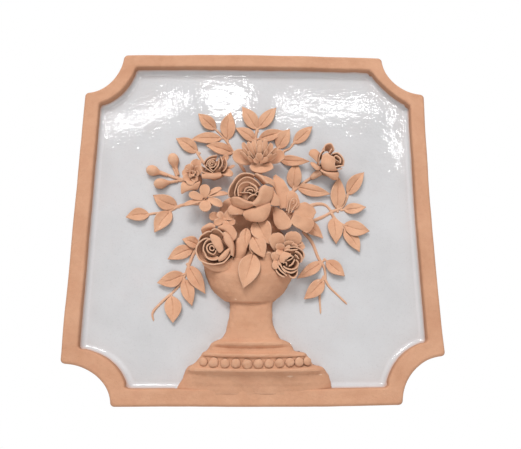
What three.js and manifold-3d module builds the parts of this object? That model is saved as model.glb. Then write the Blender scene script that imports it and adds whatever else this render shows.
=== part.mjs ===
// Square wall plaque of fired clay with notched corners, a raised rim and a sunk glazed ground.
// An urn in half relief stands on the bottom rim and carries a bouquet of hand-modelled flowers.
// The work is laid out on the face: across is +X, up is +Z, and heights stand out toward -Y.
import * as THREE from 'three';
import { mergeVertices } from 'three/addons/utils/BufferGeometryUtils.js';
import Module from 'manifold-3d';

const wasm = await Module();
wasm.setup();

// Driving dimensions in millimetres.
const side = 300;
const rimDepth = 22;
const groundDepth = 13.5;
const rimWidth = 13;
const notchRadius = 35;
const outlineRounding = 3.5;
const rightSideHollow = 2;
const topCornerFall = 1.5;
const frontRounding = 2.4;
const backChamfer = 0.8;
const coveRadius = 4;
const leafThickness = 2;
const petalThickness = 1.5;
const stemThickness = 4;
const budThickness = 8;
const beadRadius = 3.5;
const beadCount = 11;
const bowlRadius = 37.5;
const bowlRelief = 22;
const bowlSquareness = 2.3;
const footSquareness = 3.4;
const rootDepth = 3;

// How far the underside of a blade is pressed in below its line, whatever its thickness.
const leafSeat = 1;
const petalSeat = 0.75;
const budSeat = 4;

// How far the base end of a petal reaches down into the lump or petals that carry it.
const petalRoot = 2.5;

// The relief was laid out on a plaque of this side, and it grows with the side.
const layoutSide = 300;
const unit = side / layoutSide;

// Facet counts.
const arcSteps = 6;
const sideShares = [0.5, 0, -0.5];
const cornerSteps = 2;
const urnSteps = 8;
const bowlSteps = 6;
const stemSides = 4;
const lumpSides = 7;
const beadSides = 6;
const beadRings = 3;
const curlColumns = 3;

const half = side / 2;

// Turns a closed three.js geometry into a solid that can be joined.
function solidOf(geometry) {
  geometry.deleteAttribute('normal');
  geometry.deleteAttribute('uv');
  const merged = mergeVertices(geometry, 1e-4);
  const mesh = new wasm.Mesh({
    numProp: 3,
    vertProperties: new Float32Array(merged.attributes.position.array),
    triVerts: new Uint32Array(merged.index.array),
  });
  return new wasm.Manifold(mesh);
}

// Makes a solid from points and triangles, and turns it right side out.
function body(points, triangles) {
  let volume = 0;
  for (const [a, b, c] of triangles) {
    const cross = new THREE.Vector3().crossVectors(points[b], points[c]);
    volume += points[a].dot(cross);
  }
  const ordered = volume < 0 ? triangles.map(([a, b, c]) => [a, c, b]) : triangles;
  const geometry = new THREE.BufferGeometry().setFromPoints(points);
  geometry.setIndex(ordered.flat());
  return solidOf(geometry);
}

// Skins a row of equal rings and closes both ends on a point.
function skin(rings, firstPoint, lastPoint) {
  const count = rings[0].length;
  const points = rings.flat();
  const triangles = [];
  for (let i = 0; i + 1 < rings.length; i += 1) {
    for (let j = 0; j < count; j += 1) {
      const a = i * count + j;
      const b = i * count + ((j + 1) % count);
      triangles.push([a, b, a + count]);
      triangles.push([b, b + count, a + count]);
    }
  }
  const first = points.length;
  const last = first + 1;
  const end = (rings.length - 1) * count;
  points.push(firstPoint, lastPoint);
  for (let j = 0; j < count; j += 1) {
    const next = (j + 1) % count;
    triangles.push([first, next, j]);
    triangles.push([last, end + j, end + next]);
  }
  return body(points, triangles);
}

// The slab was cut by hand: its right side is a little hollow and its top corners sit low.
function handCut(across, up, out) {
  const right = Math.max(0, across / half) ** 3;
  const top = Math.max(0, up / half) ** 3;
  const hollow = rightSideHollow * right * Math.max(0, 1 - (up / (half - notchRadius)) ** 2);
  const fall = topCornerFall * top * (across / (half - notchRadius)) ** 2;
  return new THREE.Vector3(across - hollow, up - fall, out);
}

// Outline of the plaque drawn in by a distance, with its notches and softened corners.
function outline(inset, out) {
  const edge = half - inset;
  const notch = notchRadius + inset;
  const round = outlineRounding;
  const reach = Math.sqrt((notch + round) ** 2 - (inset + round) ** 2);
  const centre = new THREE.Vector2(half - reach, edge - round);
  const corner = new THREE.Vector2(half, half);
  const slope = Math.atan2(corner.y - centre.y, corner.x - centre.x);
  const quarter = [];
  for (let i = 0; i <= cornerSteps; i += 1) {
    const angle = Math.PI / 2 + ((slope - Math.PI / 2) * i) / cornerSteps;
    quarter.push([centre.x + round * Math.cos(angle), centre.y + round * Math.sin(angle)]);
  }
  const from = slope + Math.PI;
  const to = 1.5 * Math.PI - slope;
  for (let i = 1; i < arcSteps; i += 1) {
    const angle = from + ((to - from) * i) / arcSteps;
    quarter.push([corner.x + notch * Math.cos(angle), corner.y + notch * Math.sin(angle)]);
  }
  for (let i = cornerSteps; i >= 0; i -= 1) {
    quarter.push([quarter[i][1], quarter[i][0]]);
  }
  for (const share of sideShares) {
    quarter.push([edge, quarter[0][0] * share]);
  }
  const ring = [];
  for (let turn = 0; turn < 4; turn += 1) {
    const angle = (-turn * Math.PI) / 2;
    for (const [x, y] of quarter) {
      const across = x * Math.cos(angle) - y * Math.sin(angle);
      const up = x * Math.sin(angle) + y * Math.cos(angle);
      ring.push(handCut(across, up, out));
    }
  }
  return ring;
}

// Slab, rim and sunk ground in one turned profile, each step an inset and a height off the wall.
function slab() {
  const soft = frontRounding;
  const profile = [[backChamfer, 0], [0, backChamfer], [0, rimDepth - soft]];
  profile.push([soft * 0.29, rimDepth - soft * 0.29], [soft, rimDepth]);
  profile.push([rimWidth - soft, rimDepth], [rimWidth - soft * 0.29, rimDepth - soft * 0.29]);
  profile.push([rimWidth, rimDepth - soft]);
  profile.push([rimWidth + coveRadius * 0.15, groundDepth + coveRadius * 0.55]);
  profile.push([rimWidth + coveRadius * 0.5, groundDepth + coveRadius * 0.15]);
  profile.push([rimWidth + coveRadius, groundDepth]);
  const rings = profile.map(([inset, out]) => outline(inset, out));
  return skin(rings, new THREE.Vector3(0, 0, 0), new THREE.Vector3(0, 0, groundDepth));
}

// Urn in half relief, a skin over stations of height, left and right edge, relief and squareness.
function urn(stations) {
  const rings = stations.map(([up, left, right, relief, squareness]) => {
    const ring = [];
    const middle = ((left + right) / 2) * unit;
    const reach = ((right - left) / 2) * unit;
    for (let i = 0; i <= urnSteps; i += 1) {
      const angle = Math.PI * (1 - i / urnSteps);
      const share = Math.cos(angle);
      const swell = (1 - Math.abs(share) ** squareness) ** (1 / squareness);
      const out = groundDepth + relief * unit * swell;
      ring.push(new THREE.Vector3(middle + reach * share, up * unit, out));
    }
    ring.push(new THREE.Vector3(middle + reach, up * unit, groundDepth - rootDepth));
    ring.push(new THREE.Vector3(middle - reach, up * unit, groundDepth - rootDepth));
    return ring;
  });
  const close = (ring) => new THREE.Vector3(ring[0].x / 2 + ring[urnSteps].x / 2, ring[0].y, groundDepth);
  return skin(rings, close(rings[0]), close(rings[rings.length - 1]));
}

// Stations of the bowl follow a circle, and its relief falls away toward the foot of the bowl.
function bowlStations() {
  const middle = { across: -4.5, up: -38 };
  const list = [];
  for (let i = 0; i <= bowlSteps; i += 1) {
    const angle = THREE.MathUtils.degToRad(62 - (122 * i) / bowlSteps);
    const reach = bowlRadius * Math.cos(angle);
    const fall = Math.sqrt(Math.max(0, 1 - (Math.sin(angle) * 0.84) ** 2));
    const up = middle.up + bowlRadius * Math.sin(angle);
    list.push([up, middle.across - reach, middle.across + reach, bowlRelief * fall, bowlSquareness]);
  }
  return list;
}

// Stem, ring, fillet, bead band and stepped foot of the urn: height, left, right, relief.
const footProfile = [
  [-72, -20.5, 14, 11],
  [-77, -19.6, 13.9, 10.8],
  [-83, -20.6, 14.2, 11],
  [-89, -21.8, 15.4, 11.4],
  [-94, -23, 17.2, 12],
  [-98, -25.2, 19.4, 13],
  [-100.6, -29, 23.5, 15.2],
  [-103, -34, 28, 15.6],
  [-105, -35.8, 29.8, 13.4],
  [-108.4, -37.6, 31.6, 13.8],
  [-109.6, -40, 38.6, 16.6],
  [-112.2, -42, 41.8, 16.6],
  [-113.4, -43, 43, 15],
  [-120.6, -51, 53, 15],
  [-121.4, -52.4, 54.4, 16.6],
  [-123.6, -53.8, 56, 16],
  [-126, -54.8, 57.2, 12.6],
  [-130, -56.4, 59.6, 11.2],
  [-134, -58.6, 61, 10],
  [-138, -61.4, 62, 9.2],
  [-141, -62.4, 62.6, 8.4],
];

// One small ball of the bead row.
function bead(across, up, out) {
  const ball = new THREE.SphereGeometry(beadRadius * unit, beadSides, beadRings);
  ball.translate(across, up, out);
  return solidOf(ball);
}

// Blade of clay from a base to a tip: place, height over the ground, full width and outline.
function blade([u0, v0, h0, u1, v1, h1, width], shape) {
  const columns = shape.columns;
  const length = Math.hypot(u1 - u0, v1 - v0, h1 - h0);
  const ahead = new THREE.Vector3(u1 - u0, v1 - v0, h1 - h0).normalize();
  const sideways = new THREE.Vector3(-ahead.y, ahead.x, 0).normalize();
  const outward = new THREE.Vector3().crossVectors(ahead, sideways);
  if (outward.z < 0) {
    outward.negate();
  }
  const base = new THREE.Vector3(u0, v0, h0);
  const place = (along, aside, rise) => {
    const p = base.clone().addScaledVector(ahead, along * length);
    p.addScaledVector(sideways, aside).addScaledVector(outward, rise);
    return new THREE.Vector3(p.x * unit, p.y * unit, groundDepth + p.z * unit);
  };
  const rings = shape.stations.map(([along, share]) => {
    const reach = (share * width) / 2;
    const arch = shape.arch * length * Math.sin(Math.PI * along);
    const top = [];
    const under = [];
    for (let j = 0; j <= columns; j += 1) {
      const t = (2 * j) / columns - 1;
      const cup = shape.cup * width * share * t * t;
      const crease = shape.crease * share * (1 - Math.abs(t)) ** 2;
      const underside = arch + cup - shape.seat;
      top.push(place(along, reach * t, underside + shape.thickness - crease));
      if (j > 0 && j < columns) {
        under.unshift(place(along, reach * t, underside));
      }
    }
    top[0].z -= (shape.thickness / 2) * unit;
    top[columns].z -= (shape.thickness / 2) * unit;
    return [...top, ...under];
  });
  return skin(rings, place(0, 0, -shape.root), place(1, 0, 0));
}

// Outlines give the share of the length and the share of the width at each station.
const leafShape = {
  columns: 2,
  stations: [[0.14, 0.5], [0.5, 1], [0.82, 0.62]],
  thickness: leafThickness,
  seat: leafSeat,
  root: 0,
  arch: 0.06,
  cup: 0.1,
  crease: 0,
};
const petalShape = {
  columns: 2,
  stations: [[0.16, 0.56], [0.55, 1], [0.88, 0.8]],
  thickness: petalThickness,
  seat: petalSeat,
  root: petalRoot,
  arch: 0.05,
  cup: 0.1,
  crease: 0,
};

// Rod of clay through a row of places: across, up, height over the ground.
function stem(path, thickness) {
  const rings = path.map((point, i) => {
    const before = path[Math.max(0, i - 1)];
    const after = path[Math.min(path.length - 1, i + 1)];
    const angle = Math.atan2(after[1] - before[1], after[0] - before[0]);
    const taper = 1 - (0.35 * i) / (path.length - 1);
    const radius = (thickness / 2) * taper;
    const ring = [];
    for (let j = 0; j < stemSides; j += 1) {
      const turn = (2 * Math.PI * (j + 0.5)) / stemSides;
      const aside = radius * Math.cos(turn);
      const x = point[0] - aside * Math.sin(angle);
      const y = point[1] + aside * Math.cos(angle);
      const out = groundDepth + (point[2] + radius * Math.sin(turn)) * unit;
      ring.push(new THREE.Vector3(x * unit, y * unit, out));
    }
    return ring;
  });
  const tip = ([u, v, h]) => new THREE.Vector3(u * unit, v * unit, groundDepth + h * unit);
  return skin(rings, tip(path[0]), tip(path[path.length - 1]));
}

// Turned lump of clay that carries a flower, from inside the slab up to a height over the ground.
function lump([u, v], radius, height, topShare) {
  const tall = height * unit + rootDepth;
  const cone = new THREE.CylinderGeometry(radius * topShare * unit, radius * unit, tall, lumpSides);
  cone.rotateX(Math.PI / 2);
  cone.translate(u * unit, v * unit, groundDepth - rootDepth + tall / 2);
  return solidOf(cone);
}

// Upright curled petal: a thin wall around the axis of a flower, flaring toward its lip.
function curl(flower, radius, start, sweep, lift) {
  const axis = new THREE.Vector3(...flower.axis).normalize();
  const spin = new THREE.Quaternion().setFromUnitVectors(new THREE.Vector3(0, 0, 1), axis);
  const origin = new THREE.Vector3(flower.at[0], flower.at[1], flower.foot);
  const rise = flower.rise * lift;
  const rings = [];
  for (let j = 0; j <= curlColumns; j += 1) {
    const t = (2 * j) / curlColumns - 1;
    const angle = start + (sweep * (t + 1)) / 2;
    const inner = [];
    const outer = [];
    for (const s of [0, 1]) {
      const flare = 1 + flower.flare * s * s;
      const level = rise * s * (1 - 0.16 * t ** 4);
      const wall = petalThickness * (0.5 - 0.12 * s);
      const drift = radius + 0.8 * petalThickness * t;
      for (const [list, sign] of [[inner, -1], [outer, 1]]) {
        const r = drift * flare + sign * wall;
        const p = new THREE.Vector3(r * Math.cos(angle), r * Math.sin(angle), level);
        p.applyQuaternion(spin).add(origin);
        list.push(new THREE.Vector3(p.x * unit, p.y * unit, groundDepth + p.z * unit));
      }
    }
    rings.push([...inner, ...outer.reverse()]);
  }
  const middle = (ring) => {
    const sum = ring.reduce((total, p) => total.add(p), new THREE.Vector3());
    return sum.divideScalar(ring.length);
  };
  return skin(rings, middle(rings[0]), middle(rings[curlColumns]));
}

// Rose of curled petals in rings of growing radius, with a small cone at its heart.
function rose(flower) {
  const parts = [];
  flower.rings.forEach(([radius, petals, lift], i) => {
    const sweep = (2 * Math.PI * 1.16) / petals;
    for (let k = 0; k < petals; k += 1) {
      const start = flower.turn + i * 1.1 + (2 * Math.PI * k) / petals;
      parts.push(curl(flower, radius, start, sweep, lift));
    }
  });
  return parts;
}

// Roses: place, foot and rise of the petals over the ground, axis, flare, first turn, rings.
const roses = [
  {
    at: [-4.6, 17], foot: 12, rise: 14.5, axis: [0, 0.05, 1], flare: 0.22, turn: 0.4,
    rings: [[3.8, 2, 0.95], [7.8, 3, 0.98], [12, 4, 0.96]],
  },
  {
    at: [-33.5, -29], foot: 11, rise: 14, axis: [-0.05, -0.02, 1], flare: 0.18, turn: 2.1,
    rings: [[3.6, 2, 0.95], [7.4, 3, 1], [11.2, 4, 0.98]],
  },
  {
    at: [-34, 41.5], foot: 6, rise: 9.5, axis: [0.05, 0.1, 1], flare: 0.2, turn: 1,
    rings: [[3, 2, 1], [6.6, 3, 0.9]],
  },
  {
    at: [26, -37], foot: 11, rise: 13.5, axis: [0.18, -0.22, 1], flare: 0.2, turn: 3.4,
    rings: [[3.8, 2, 0.95], [8.2, 4, 0.95]],
  },
  {
    at: [61, 46], foot: 4, rise: 14, axis: [0.75, 0.35, 1], flare: 0.05, turn: 0.2,
    rings: [[3.2, 2, 1], [7, 3, 0.9]],
  },
];

// Lumps under the flowers: place, radius, height over the ground, share of the radius on top.
const lumps = [
  [[-4.6, 17], 12.5, 15, 0.85],
  [[-33.5, -29], 11.5, 14, 0.85],
  [[-34, 41.5], 7, 9, 0.85],
  [[25, -36], 10, 13.5, 0.85],
  [[61, 46], 7, 8, 0.8],
  [[27, -1], 6.5, 17, 0.7],
  [[2, 49], 8, 13, 0.7],
  [[-51.5, 33], 6, 13, 0.7],
  [[-40.5, 12], 6, 13.6, 0.7],
  [[-25, -4], 5, 15.5, 0.7],
  [[4, -8], 14, 12, 0.8],
  [[-18, 2], 14, 9, 0.8],
];

// Broad petals laid open: base across, up, height, tip across, up, height, and width.
const petals = [
  [-12, 22, 16, -19, 4, 20, 17],
  [-6, 6, 15, 2, -8.5, 19, 25],
  [6, 18, 16, 17.5, 15, 22, 23],
  [2, 24, 16, 6, 33, 22, 15],
  [-30, -22, 14, -23, -8, 16, 17],
  [-22, -34, 13, -13, -24, 17, 12],
  [-30, -38, 13, -28, -48, 15, 20],
  [-40, -22, 12, -47, -17, 15, 13],
  [22, -30, 14, 16, -19, 20, 13],
  [27, -29, 13, 31, -17, 19, 12],
  [18, -38, 12, 10, -42, 19, 16],
  [30, -42, 11, 34, -50, 14, 13],
  [31, -37, 11, 41, -31, 13, 10],
  [26, -1, 12, 18, 34, 17, 14],
  [27, 0, 14.2, 34, 19, 18, 13],
  [27, -1, 12, 49, 4, 16, 15],
  [27, -2, 14.2, 43, -15, 19, 15],
  [26, -2, 16.4, 18, -12, 21, 16],
  [4, 46, 11.4, 5, 35.5, 18, 21],
  [-1, 48, 9, -17, 47, 15, 14],
  [7, 49, 9, 23, 53, 14, 12],
  [3, 48, 12, 3.5, 64, 20, 7],
  [1, 48, 9.6, -4, 63, 17, 7],
  [0, 48, 12, -10, 60, 18, 7],
  [5, 48, 9.6, 9, 63, 17, 7],
  [6, 48, 12, 16, 58, 18, 7],
  [3, 50, 14.2, 2, 58, 22, 8],
  [-51, 33, 8, -46, 45, 13, 11],
  [-52, 33, 10.2, -60, 39, 14, 12],
  [-53, 32, 8, -59, 25, 13, 11],
  [-52, 32, 10.2, -52, 20, 15, 13],
  [-50, 33, 12.2, -44, 34, 16, 10],
  [-41, 12, 9, -42, 25, 13, 9],
  [-41, 12, 11, -54, 17, 14, 8],
  [-41, 11, 9, -56, 6, 12, 7],
  [-40, 10, 11, -40, 1, 16, 8],
  [-39, 11, 9, -26, 6, 14, 8],
  [-39, 13, 11, -22, 18, 15, 7],
  [-39, 14, 13, -31, 23, 16, 7],
  [-25, -4, 12, -19, -3, 16, 6],
  [-25, -4, 14, -23, 2, 17, 6],
  [-25, -4, 12, -30, 0, 16, 6],
  [-25, -5, 14, -30, -8, 17, 6],
  [-24, -5, 15.6, -22, -11, 18, 6],
  [-30, 35, 5, -19, 35, 13, 9],
  [-40, 37, 5, -41, 30, 12, 12],
  [56, 45.6, 4, 48, 54, 9, 11],
];

// Leaves: base across, up, height, tip across, up, height, and width.
const leaves = [
  [-35.5, 81.5, -1, -51, 95.5, 6, 10.5],
  [-24.5, 72, -1, -22, 97, 6, 12.5],
  [-30, 73, -1, -57, 70, 6, 10],
  [-19.5, 59.5, -1, -43.5, 65, 7, 10.5],
  [-51, 60, -1, -70, 71.5, 6, 11],
  [1, 82, -1, -12, 102.5, 6, 12],
  [3, 83, -1, 18.5, 102, 6, 11],
  [0, 71, -1, -18, 82, 6, 10],
  [3, 73, -1, 25, 80, 6, 10],
  [20, 64, -1, 30.5, 81, 8, 12],
  [34, 69, -1, 50.5, 84.5, 6, 10],
  [21, 54, -1, 47, 50.5, 12, 9],
  [33, 27, -1, 36, 50, 6, 12],
  [36, 29, -1, 65, 22, 7, 10],
  [71, 9, -1, 72.5, 37, 6, 12],
  [80, 22, -1, 95, 41.5, 6, 11],
  [76, 8.5, -1, 95, 10.5, 6, 9],
  [67, 1, -1, 68, -22, 6, 12],
  [76, -5, -1, 97, -10.5, 6, 12.5],
  [76, -9, -1, 87.5, -29, 6, 11],
  [36, -2, -1, 57, -18, 7, 11],
  [60, -36, -1, 74.5, -49, 6, 10.5],
  [56, -37, -1, 34.5, -51, 10, 9],
  [57, -52, -1, 40, -68, 6, 11],
  [-47, -24, -1, -61, -19, 6, 9],
  [-52, -26, -1, -72, -36, 6, 11],
  [-59, -48, -1, -80, -55, 6, 12],
  [-55, -41, -1, -40, -64, 7, 11],
  [-58, -52, -1, -51, -74, 6, 10.5],
  [-68, -66, -1, -66, -87.5, 6, 13],
  [-90, 3, -1, -109, -0.5, 6, 11],
  [-67, 10.5, -1, -87, 20, 6, 12],
  [-72, 6, -1, -84, -13.5, 6, 12.5],
  [-46, 30, 2, -62, 20, 6, 8],
  [1, -30, 17, -8, -58, 25, 14],
  [-6, -16, 14, 10, -36, 23, 13],
  [4, 0, 10, 18, -15, 18, 15],
  [54, 41, 2, 71, 33, 9, 9],
  [46, 47, 3, 58, 38, 8, 6],
];

// Rods of clay: thickness and the places that they run through.
const stems = [
  [1, [[-8, 40, 0], [-19, 59, 0], [-24, 68, 0.5], [-29, 75, 0.5], [-36, 82, 0.5]]],
  [1, [[-38, 46, 0.5], [-45, 50, 0.5], [-48, 54, 0.5], [-52, 60.5, 0.5]]],
  [1, [[-1, 56, 0.5], [0, 73, 0.5], [2, 85, 0.5]]],
  [0.9, [[18, 50, 0.5], [25, 61, 0.5], [30, 64, 0.5], [35, 70, 0.5]]],
  [1, [[22, 14, 0.5], [32, 24, 0.5], [42, 32, 0.8], [50, 38, 1.5], [57, 43, 3]]],
  [1, [[38, 8, 0.5], [48, 12, 0.5], [55, 13.5, 0.5], [61, 12, 0.5], [67, 5, 0.5]]],
  [1, [[38, -4, 0.5], [48, -2, 0.5], [58, 2, 0.5], [67, 7, 0.5], [75, 11, 0.5], [81, 22.5, 0.5]]],
  [0.9, [[65, 6, 0.5], [68, 1, 0.5], [71, -2, 0.5], [77, -7, 0.5]]],
  [1, [[40, -10, 0.5], [48, -20, 0.5], [53, -33, 0.5], [58, -42, 0.5], [59, -54, 0.5]]],
  [0.7, [[58, -51, 0.5], [62, -58, 0.6], [70, -66, 0.7], [76, -72, 0.8]]],
  [0.7, [[54, -56, 0.5], [53.5, -68, 0.6], [54, -80, 0.8]]],
  [0.8, [[58, -48, 0.5], [55, -54, 0.5], [53, -62, 0.5]]],
  [1, [[-42, -20, 0.5], [-50, -28, 0.5], [-55, -41, 0.5], [-60, -54, 0.5], [-69, -65, 0.5]]],
  [0.8, [[-67, -63, 0.5], [-75, -70, 0.6], [-82.5, -79, 0.7], [-81.5, -86, 0.8]]],
  [1, [[-40, 12, 0.5], [-52, 13, 0.5], [-64, 11, 0.5], [-74, 6, 0.5], [-92, 3, 0.5]]],
  [1, [[-50, 33, 0.5], [-60, 34, 0.5], [-68, 35.5, 0.8], [-75, 38, 1], [-84, 42, 2]]],
  [0.9, [[-67, 35, 0.5], [-69, 40, 1], [-73, 49, 2]]],
  [0.9, [[-60, 34, 0.5], [-70, 32.5, 1], [-79, 29.5, 2]]],
];

// Closed buds: base, tip and width as for a petal, but full and round.
const budShape = {
  columns: 4,
  stations: [[0.12, 0.62], [0.4, 1], [0.7, 0.92], [0.92, 0.5]],
  thickness: budThickness,
  seat: budSeat,
  root: 0,
  arch: 0,
  cup: 0,
  crease: 0,
};
const buds = [
  [-82, 41, 1.5, -94, 45, 3.5, 9.5],
  [-72, 45.5, 1.5, -74.5, 57, 4, 9],
  [-75, 30.5, 1.5, -86.5, 28.5, 3.5, 9],
];

// All the clay worked on the face.
function relief() {
  const footStations = footProfile.map((station) => [...station, footSquareness]);
  const parts = [urn([...bowlStations(), ...footStations])];
  const beadUp = -117.3;
  const firstBead = -39.6;
  const lastBead = 41.4;
  const beadReach = 47;
  const beadBed = 15;
  const beadSink = 0.8;
  for (let i = 0; i < beadCount; i += 1) {
    const across = firstBead + ((lastBead - firstBead) * i) / (beadCount - 1);
    const swell = (1 - Math.abs(across / beadReach) ** footSquareness) ** (1 / footSquareness);
    const out = groundDepth + (beadBed * swell - beadSink) * unit;
    parts.push(bead(across * unit, beadUp * unit, out));
  }
  lumps.forEach((entry) => parts.push(lump(...entry)));
  roses.forEach((entry) => parts.push(...rose(entry)));
  petals.forEach((entry) => parts.push(blade(entry, petalShape)));
  leaves.forEach((entry) => parts.push(blade(entry, leafShape)));
  buds.forEach((entry) => parts.push(blade(entry, budShape)));
  stems.forEach(([share, path]) => parts.push(stem(path, stemThickness * share)));
  return parts;
}

// Joins every worked piece of clay to the slab and keeps the outer surface of the one body.
let joined = slab();
for (const part of relief()) {
  joined = joined.add(part);
}
const pieces = joined.decompose();
pieces.sort((a, b) => b.volume() - a.volume());
const fired = pieces[0].getMesh();

const geometry = new THREE.BufferGeometry();
geometry.setAttribute('position', new THREE.Float32BufferAttribute(fired.vertProperties, 3));
geometry.setIndex(Array.from(fired.triVerts));
geometry.rotateX(Math.PI / 2);
const welded = mergeVertices(geometry, 1e-4);
welded.computeVertexNormals();

const clay = new THREE.MeshStandardMaterial({ color: 0xd5a07f, roughness: 0.85, metalness: 0 });
const plaque = new THREE.Mesh(welded, clay);
plaque.name = 'plaque';

const group = new THREE.Group();
group.name = 'wall_plaque';
group.add(plaque);

export default group;
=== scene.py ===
import math
import bpy
import numpy as np
from mathutils import Matrix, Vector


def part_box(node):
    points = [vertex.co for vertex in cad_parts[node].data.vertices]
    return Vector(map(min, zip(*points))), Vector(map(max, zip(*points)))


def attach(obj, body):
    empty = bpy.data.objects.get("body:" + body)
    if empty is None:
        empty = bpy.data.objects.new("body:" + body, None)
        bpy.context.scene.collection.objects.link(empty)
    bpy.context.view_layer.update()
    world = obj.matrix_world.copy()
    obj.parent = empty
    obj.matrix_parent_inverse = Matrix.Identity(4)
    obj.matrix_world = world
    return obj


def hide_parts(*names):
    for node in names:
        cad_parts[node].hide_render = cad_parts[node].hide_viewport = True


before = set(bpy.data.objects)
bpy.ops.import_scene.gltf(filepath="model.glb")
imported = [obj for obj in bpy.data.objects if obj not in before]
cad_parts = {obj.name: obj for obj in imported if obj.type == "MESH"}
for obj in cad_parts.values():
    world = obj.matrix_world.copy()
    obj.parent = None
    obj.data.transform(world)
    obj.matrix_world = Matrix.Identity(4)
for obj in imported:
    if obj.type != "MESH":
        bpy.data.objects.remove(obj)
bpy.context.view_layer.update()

# Sizes are in millimetres on the face: across is +X, up is +Z, and heights stand out toward -Y.
MM = 0.001
plaque_low, plaque_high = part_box("plaque")
SIDE = (plaque_high[0] - plaque_low[0]) / MM
HALF = SIDE / 2
RIM_DEPTH = 22.0
GROUND = 13.5
RIM_WIDTH = 13.0
NOTCH_RADIUS = 35.0
OUTLINE_ROUNDING = 3.5
FRONT_ROUNDING = 2.6
COVE = 4.0
RIGHT_SIDE_HOLLOW = 2.0
TOP_CORNER_FALL = 1.8
LEAF_THICKNESS = 1.7
PETAL_THICKNESS = 1.05
STEM_THICKNESS = 3.2

# The bouquet and urn sit a little smaller and lower on the face than their own places below.
RELIEF_SCALE = 0.99
RELIEF_DROP = 0.85

# Camera fitted to the straight sides of the rim: place in millimetres, turns in degrees.
CAMERA_PLACE = (-2.8, -407.3, -98.9)
CAMERA_ACROSS, CAMERA_OUT, CAMERA_UP = CAMERA_PLACE[0], -CAMERA_PLACE[1], CAMERA_PLACE[2]
CAMERA_YAW, CAMERA_PITCH, CAMERA_ROLL = -1.08, 13.31, -0.14
FOCAL_PIXELS = 480.0
FRAME_PIXELS = (521, 449)
SENSOR_WIDTH = 36


def unit(vectors):
    """Vectors scaled to length one along the last axis."""
    length = np.linalg.norm(vectors, axis=-1, keepdims=True)
    return vectors / np.maximum(length, 1e-9)


def ripple(points, wavelength, seed, waves=10):
    """Smooth seeded unevenness, about -1 to 1, for an array of points in millimetres."""
    chance = np.random.default_rng(seed)
    total = np.zeros(points.shape[:-1])
    for _ in range(waves):
        heading = unit(chance.normal(size=points.shape[-1]))
        pace = 2 * math.pi / (wavelength * chance.uniform(0.7, 1.6))
        total += np.sin(points @ heading * pace + chance.uniform(0, 2 * math.pi))
    return total / math.sqrt(waves)


class Clay:
    """Gathers points and faces of several worked bits into one mesh piece."""

    def __init__(self):
        self.points = []
        self.faces = []
        self.count = 0

    def add(self, points, faces):
        self.points.append(np.asarray(points, float).reshape(-1, 3))
        self.faces.extend((np.asarray(faces) + self.count).tolist())
        self.count += len(self.points[-1])

    def tube(self, rings):
        """Adds rings of points, rows by columns, as a closed body that faces outward, its ends filled."""
        rows, columns = rings.shape[:2]
        points = rings.reshape(-1, 3)
        quads = grid_faces(rows, columns, wrap=True)
        first = np.arange(columns)[::-1]
        last = np.arange(columns) + (rows - 1) * columns
        a, b, c, d = (points[quads[:, k]] - points.mean(0) for k in range(4))
        if np.sum((a + b + c + d) * np.cross(c - a, d - b)) < 0:
            quads, first, last = quads[:, ::-1], first[::-1], last[::-1]
        start = self.count
        self.add(points, quads)
        self.faces += [(first + start).tolist(), (last + start).tolist()]

    def piece(self, name, material, relief=True):
        """Makes the Blender object, in metres, riding on the plaque."""
        face = np.concatenate(self.points)
        if relief:
            face[:, :2] *= RELIEF_SCALE
            face[:, 1] -= RELIEF_DROP
        part = np.stack([face[:, 0], -face[:, 2], face[:, 1]], 1) * MM
        mesh = bpy.data.meshes.new(name)
        mesh.from_pydata(part.tolist(), [], self.faces)
        mesh.update()
        mesh.polygons.foreach_set("use_smooth", [True] * len(mesh.polygons))
        mesh.materials.append(material)
        made = bpy.data.objects.new(name, mesh)
        bpy.context.scene.collection.objects.link(made)
        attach(made, "root")
        return made


def grid_faces(rows, columns, wrap=False, offset=0):
    """Quads over a grid of points, rows by columns, closed round the columns if wrap is set."""
    i, j = np.meshgrid(np.arange(rows - 1), np.arange(columns if wrap else columns - 1), indexing="ij")
    across = (j + 1) % columns
    a = i * columns + j
    b = i * columns + across
    quads = np.stack([a, b, b + columns, a + columns], -1).reshape(-1, 4)
    return quads + offset


def closed_sheet(clay, middle, thickness, relief=None):
    """Thin closed body of clay around a grid of points, running out to nothing at its border."""
    rows, columns, _ = middle.shape
    along = np.gradient(middle, axis=0)
    across = np.gradient(middle, axis=1)
    normal = unit(np.cross(along, across))
    if normal[rows // 2, columns // 2, 2] < 0:
        normal = -normal
    offset = normal * (thickness / 2)[..., None]
    upper = middle + offset
    lower = middle - offset
    if relief is not None:
        upper = upper + normal * relief[..., None]
    border = np.zeros((rows, columns), bool)
    border[[0, -1], :] = True
    border[:, [0, -1]] = True
    index = np.arange(rows * columns).reshape(rows, columns)
    under = index.copy()
    inner = ~border
    under[inner] = rows * columns + np.arange(inner.sum())
    points = np.concatenate([upper.reshape(-1, 3), lower[inner]])
    quads = grid_faces(rows, columns)
    top = index.reshape(-1)[quads]
    bottom = under.reshape(-1)[quads][:, ::-1]
    faces = np.concatenate([top, bottom])
    corners = points[top[len(top) // 2]]
    facing = np.cross(corners[1] - corners[0], corners[2] - corners[0])
    if facing @ normal[rows // 2, columns // 2] < 0:
        faces = faces[:, ::-1]
    clay.add(points, faces)


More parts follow.
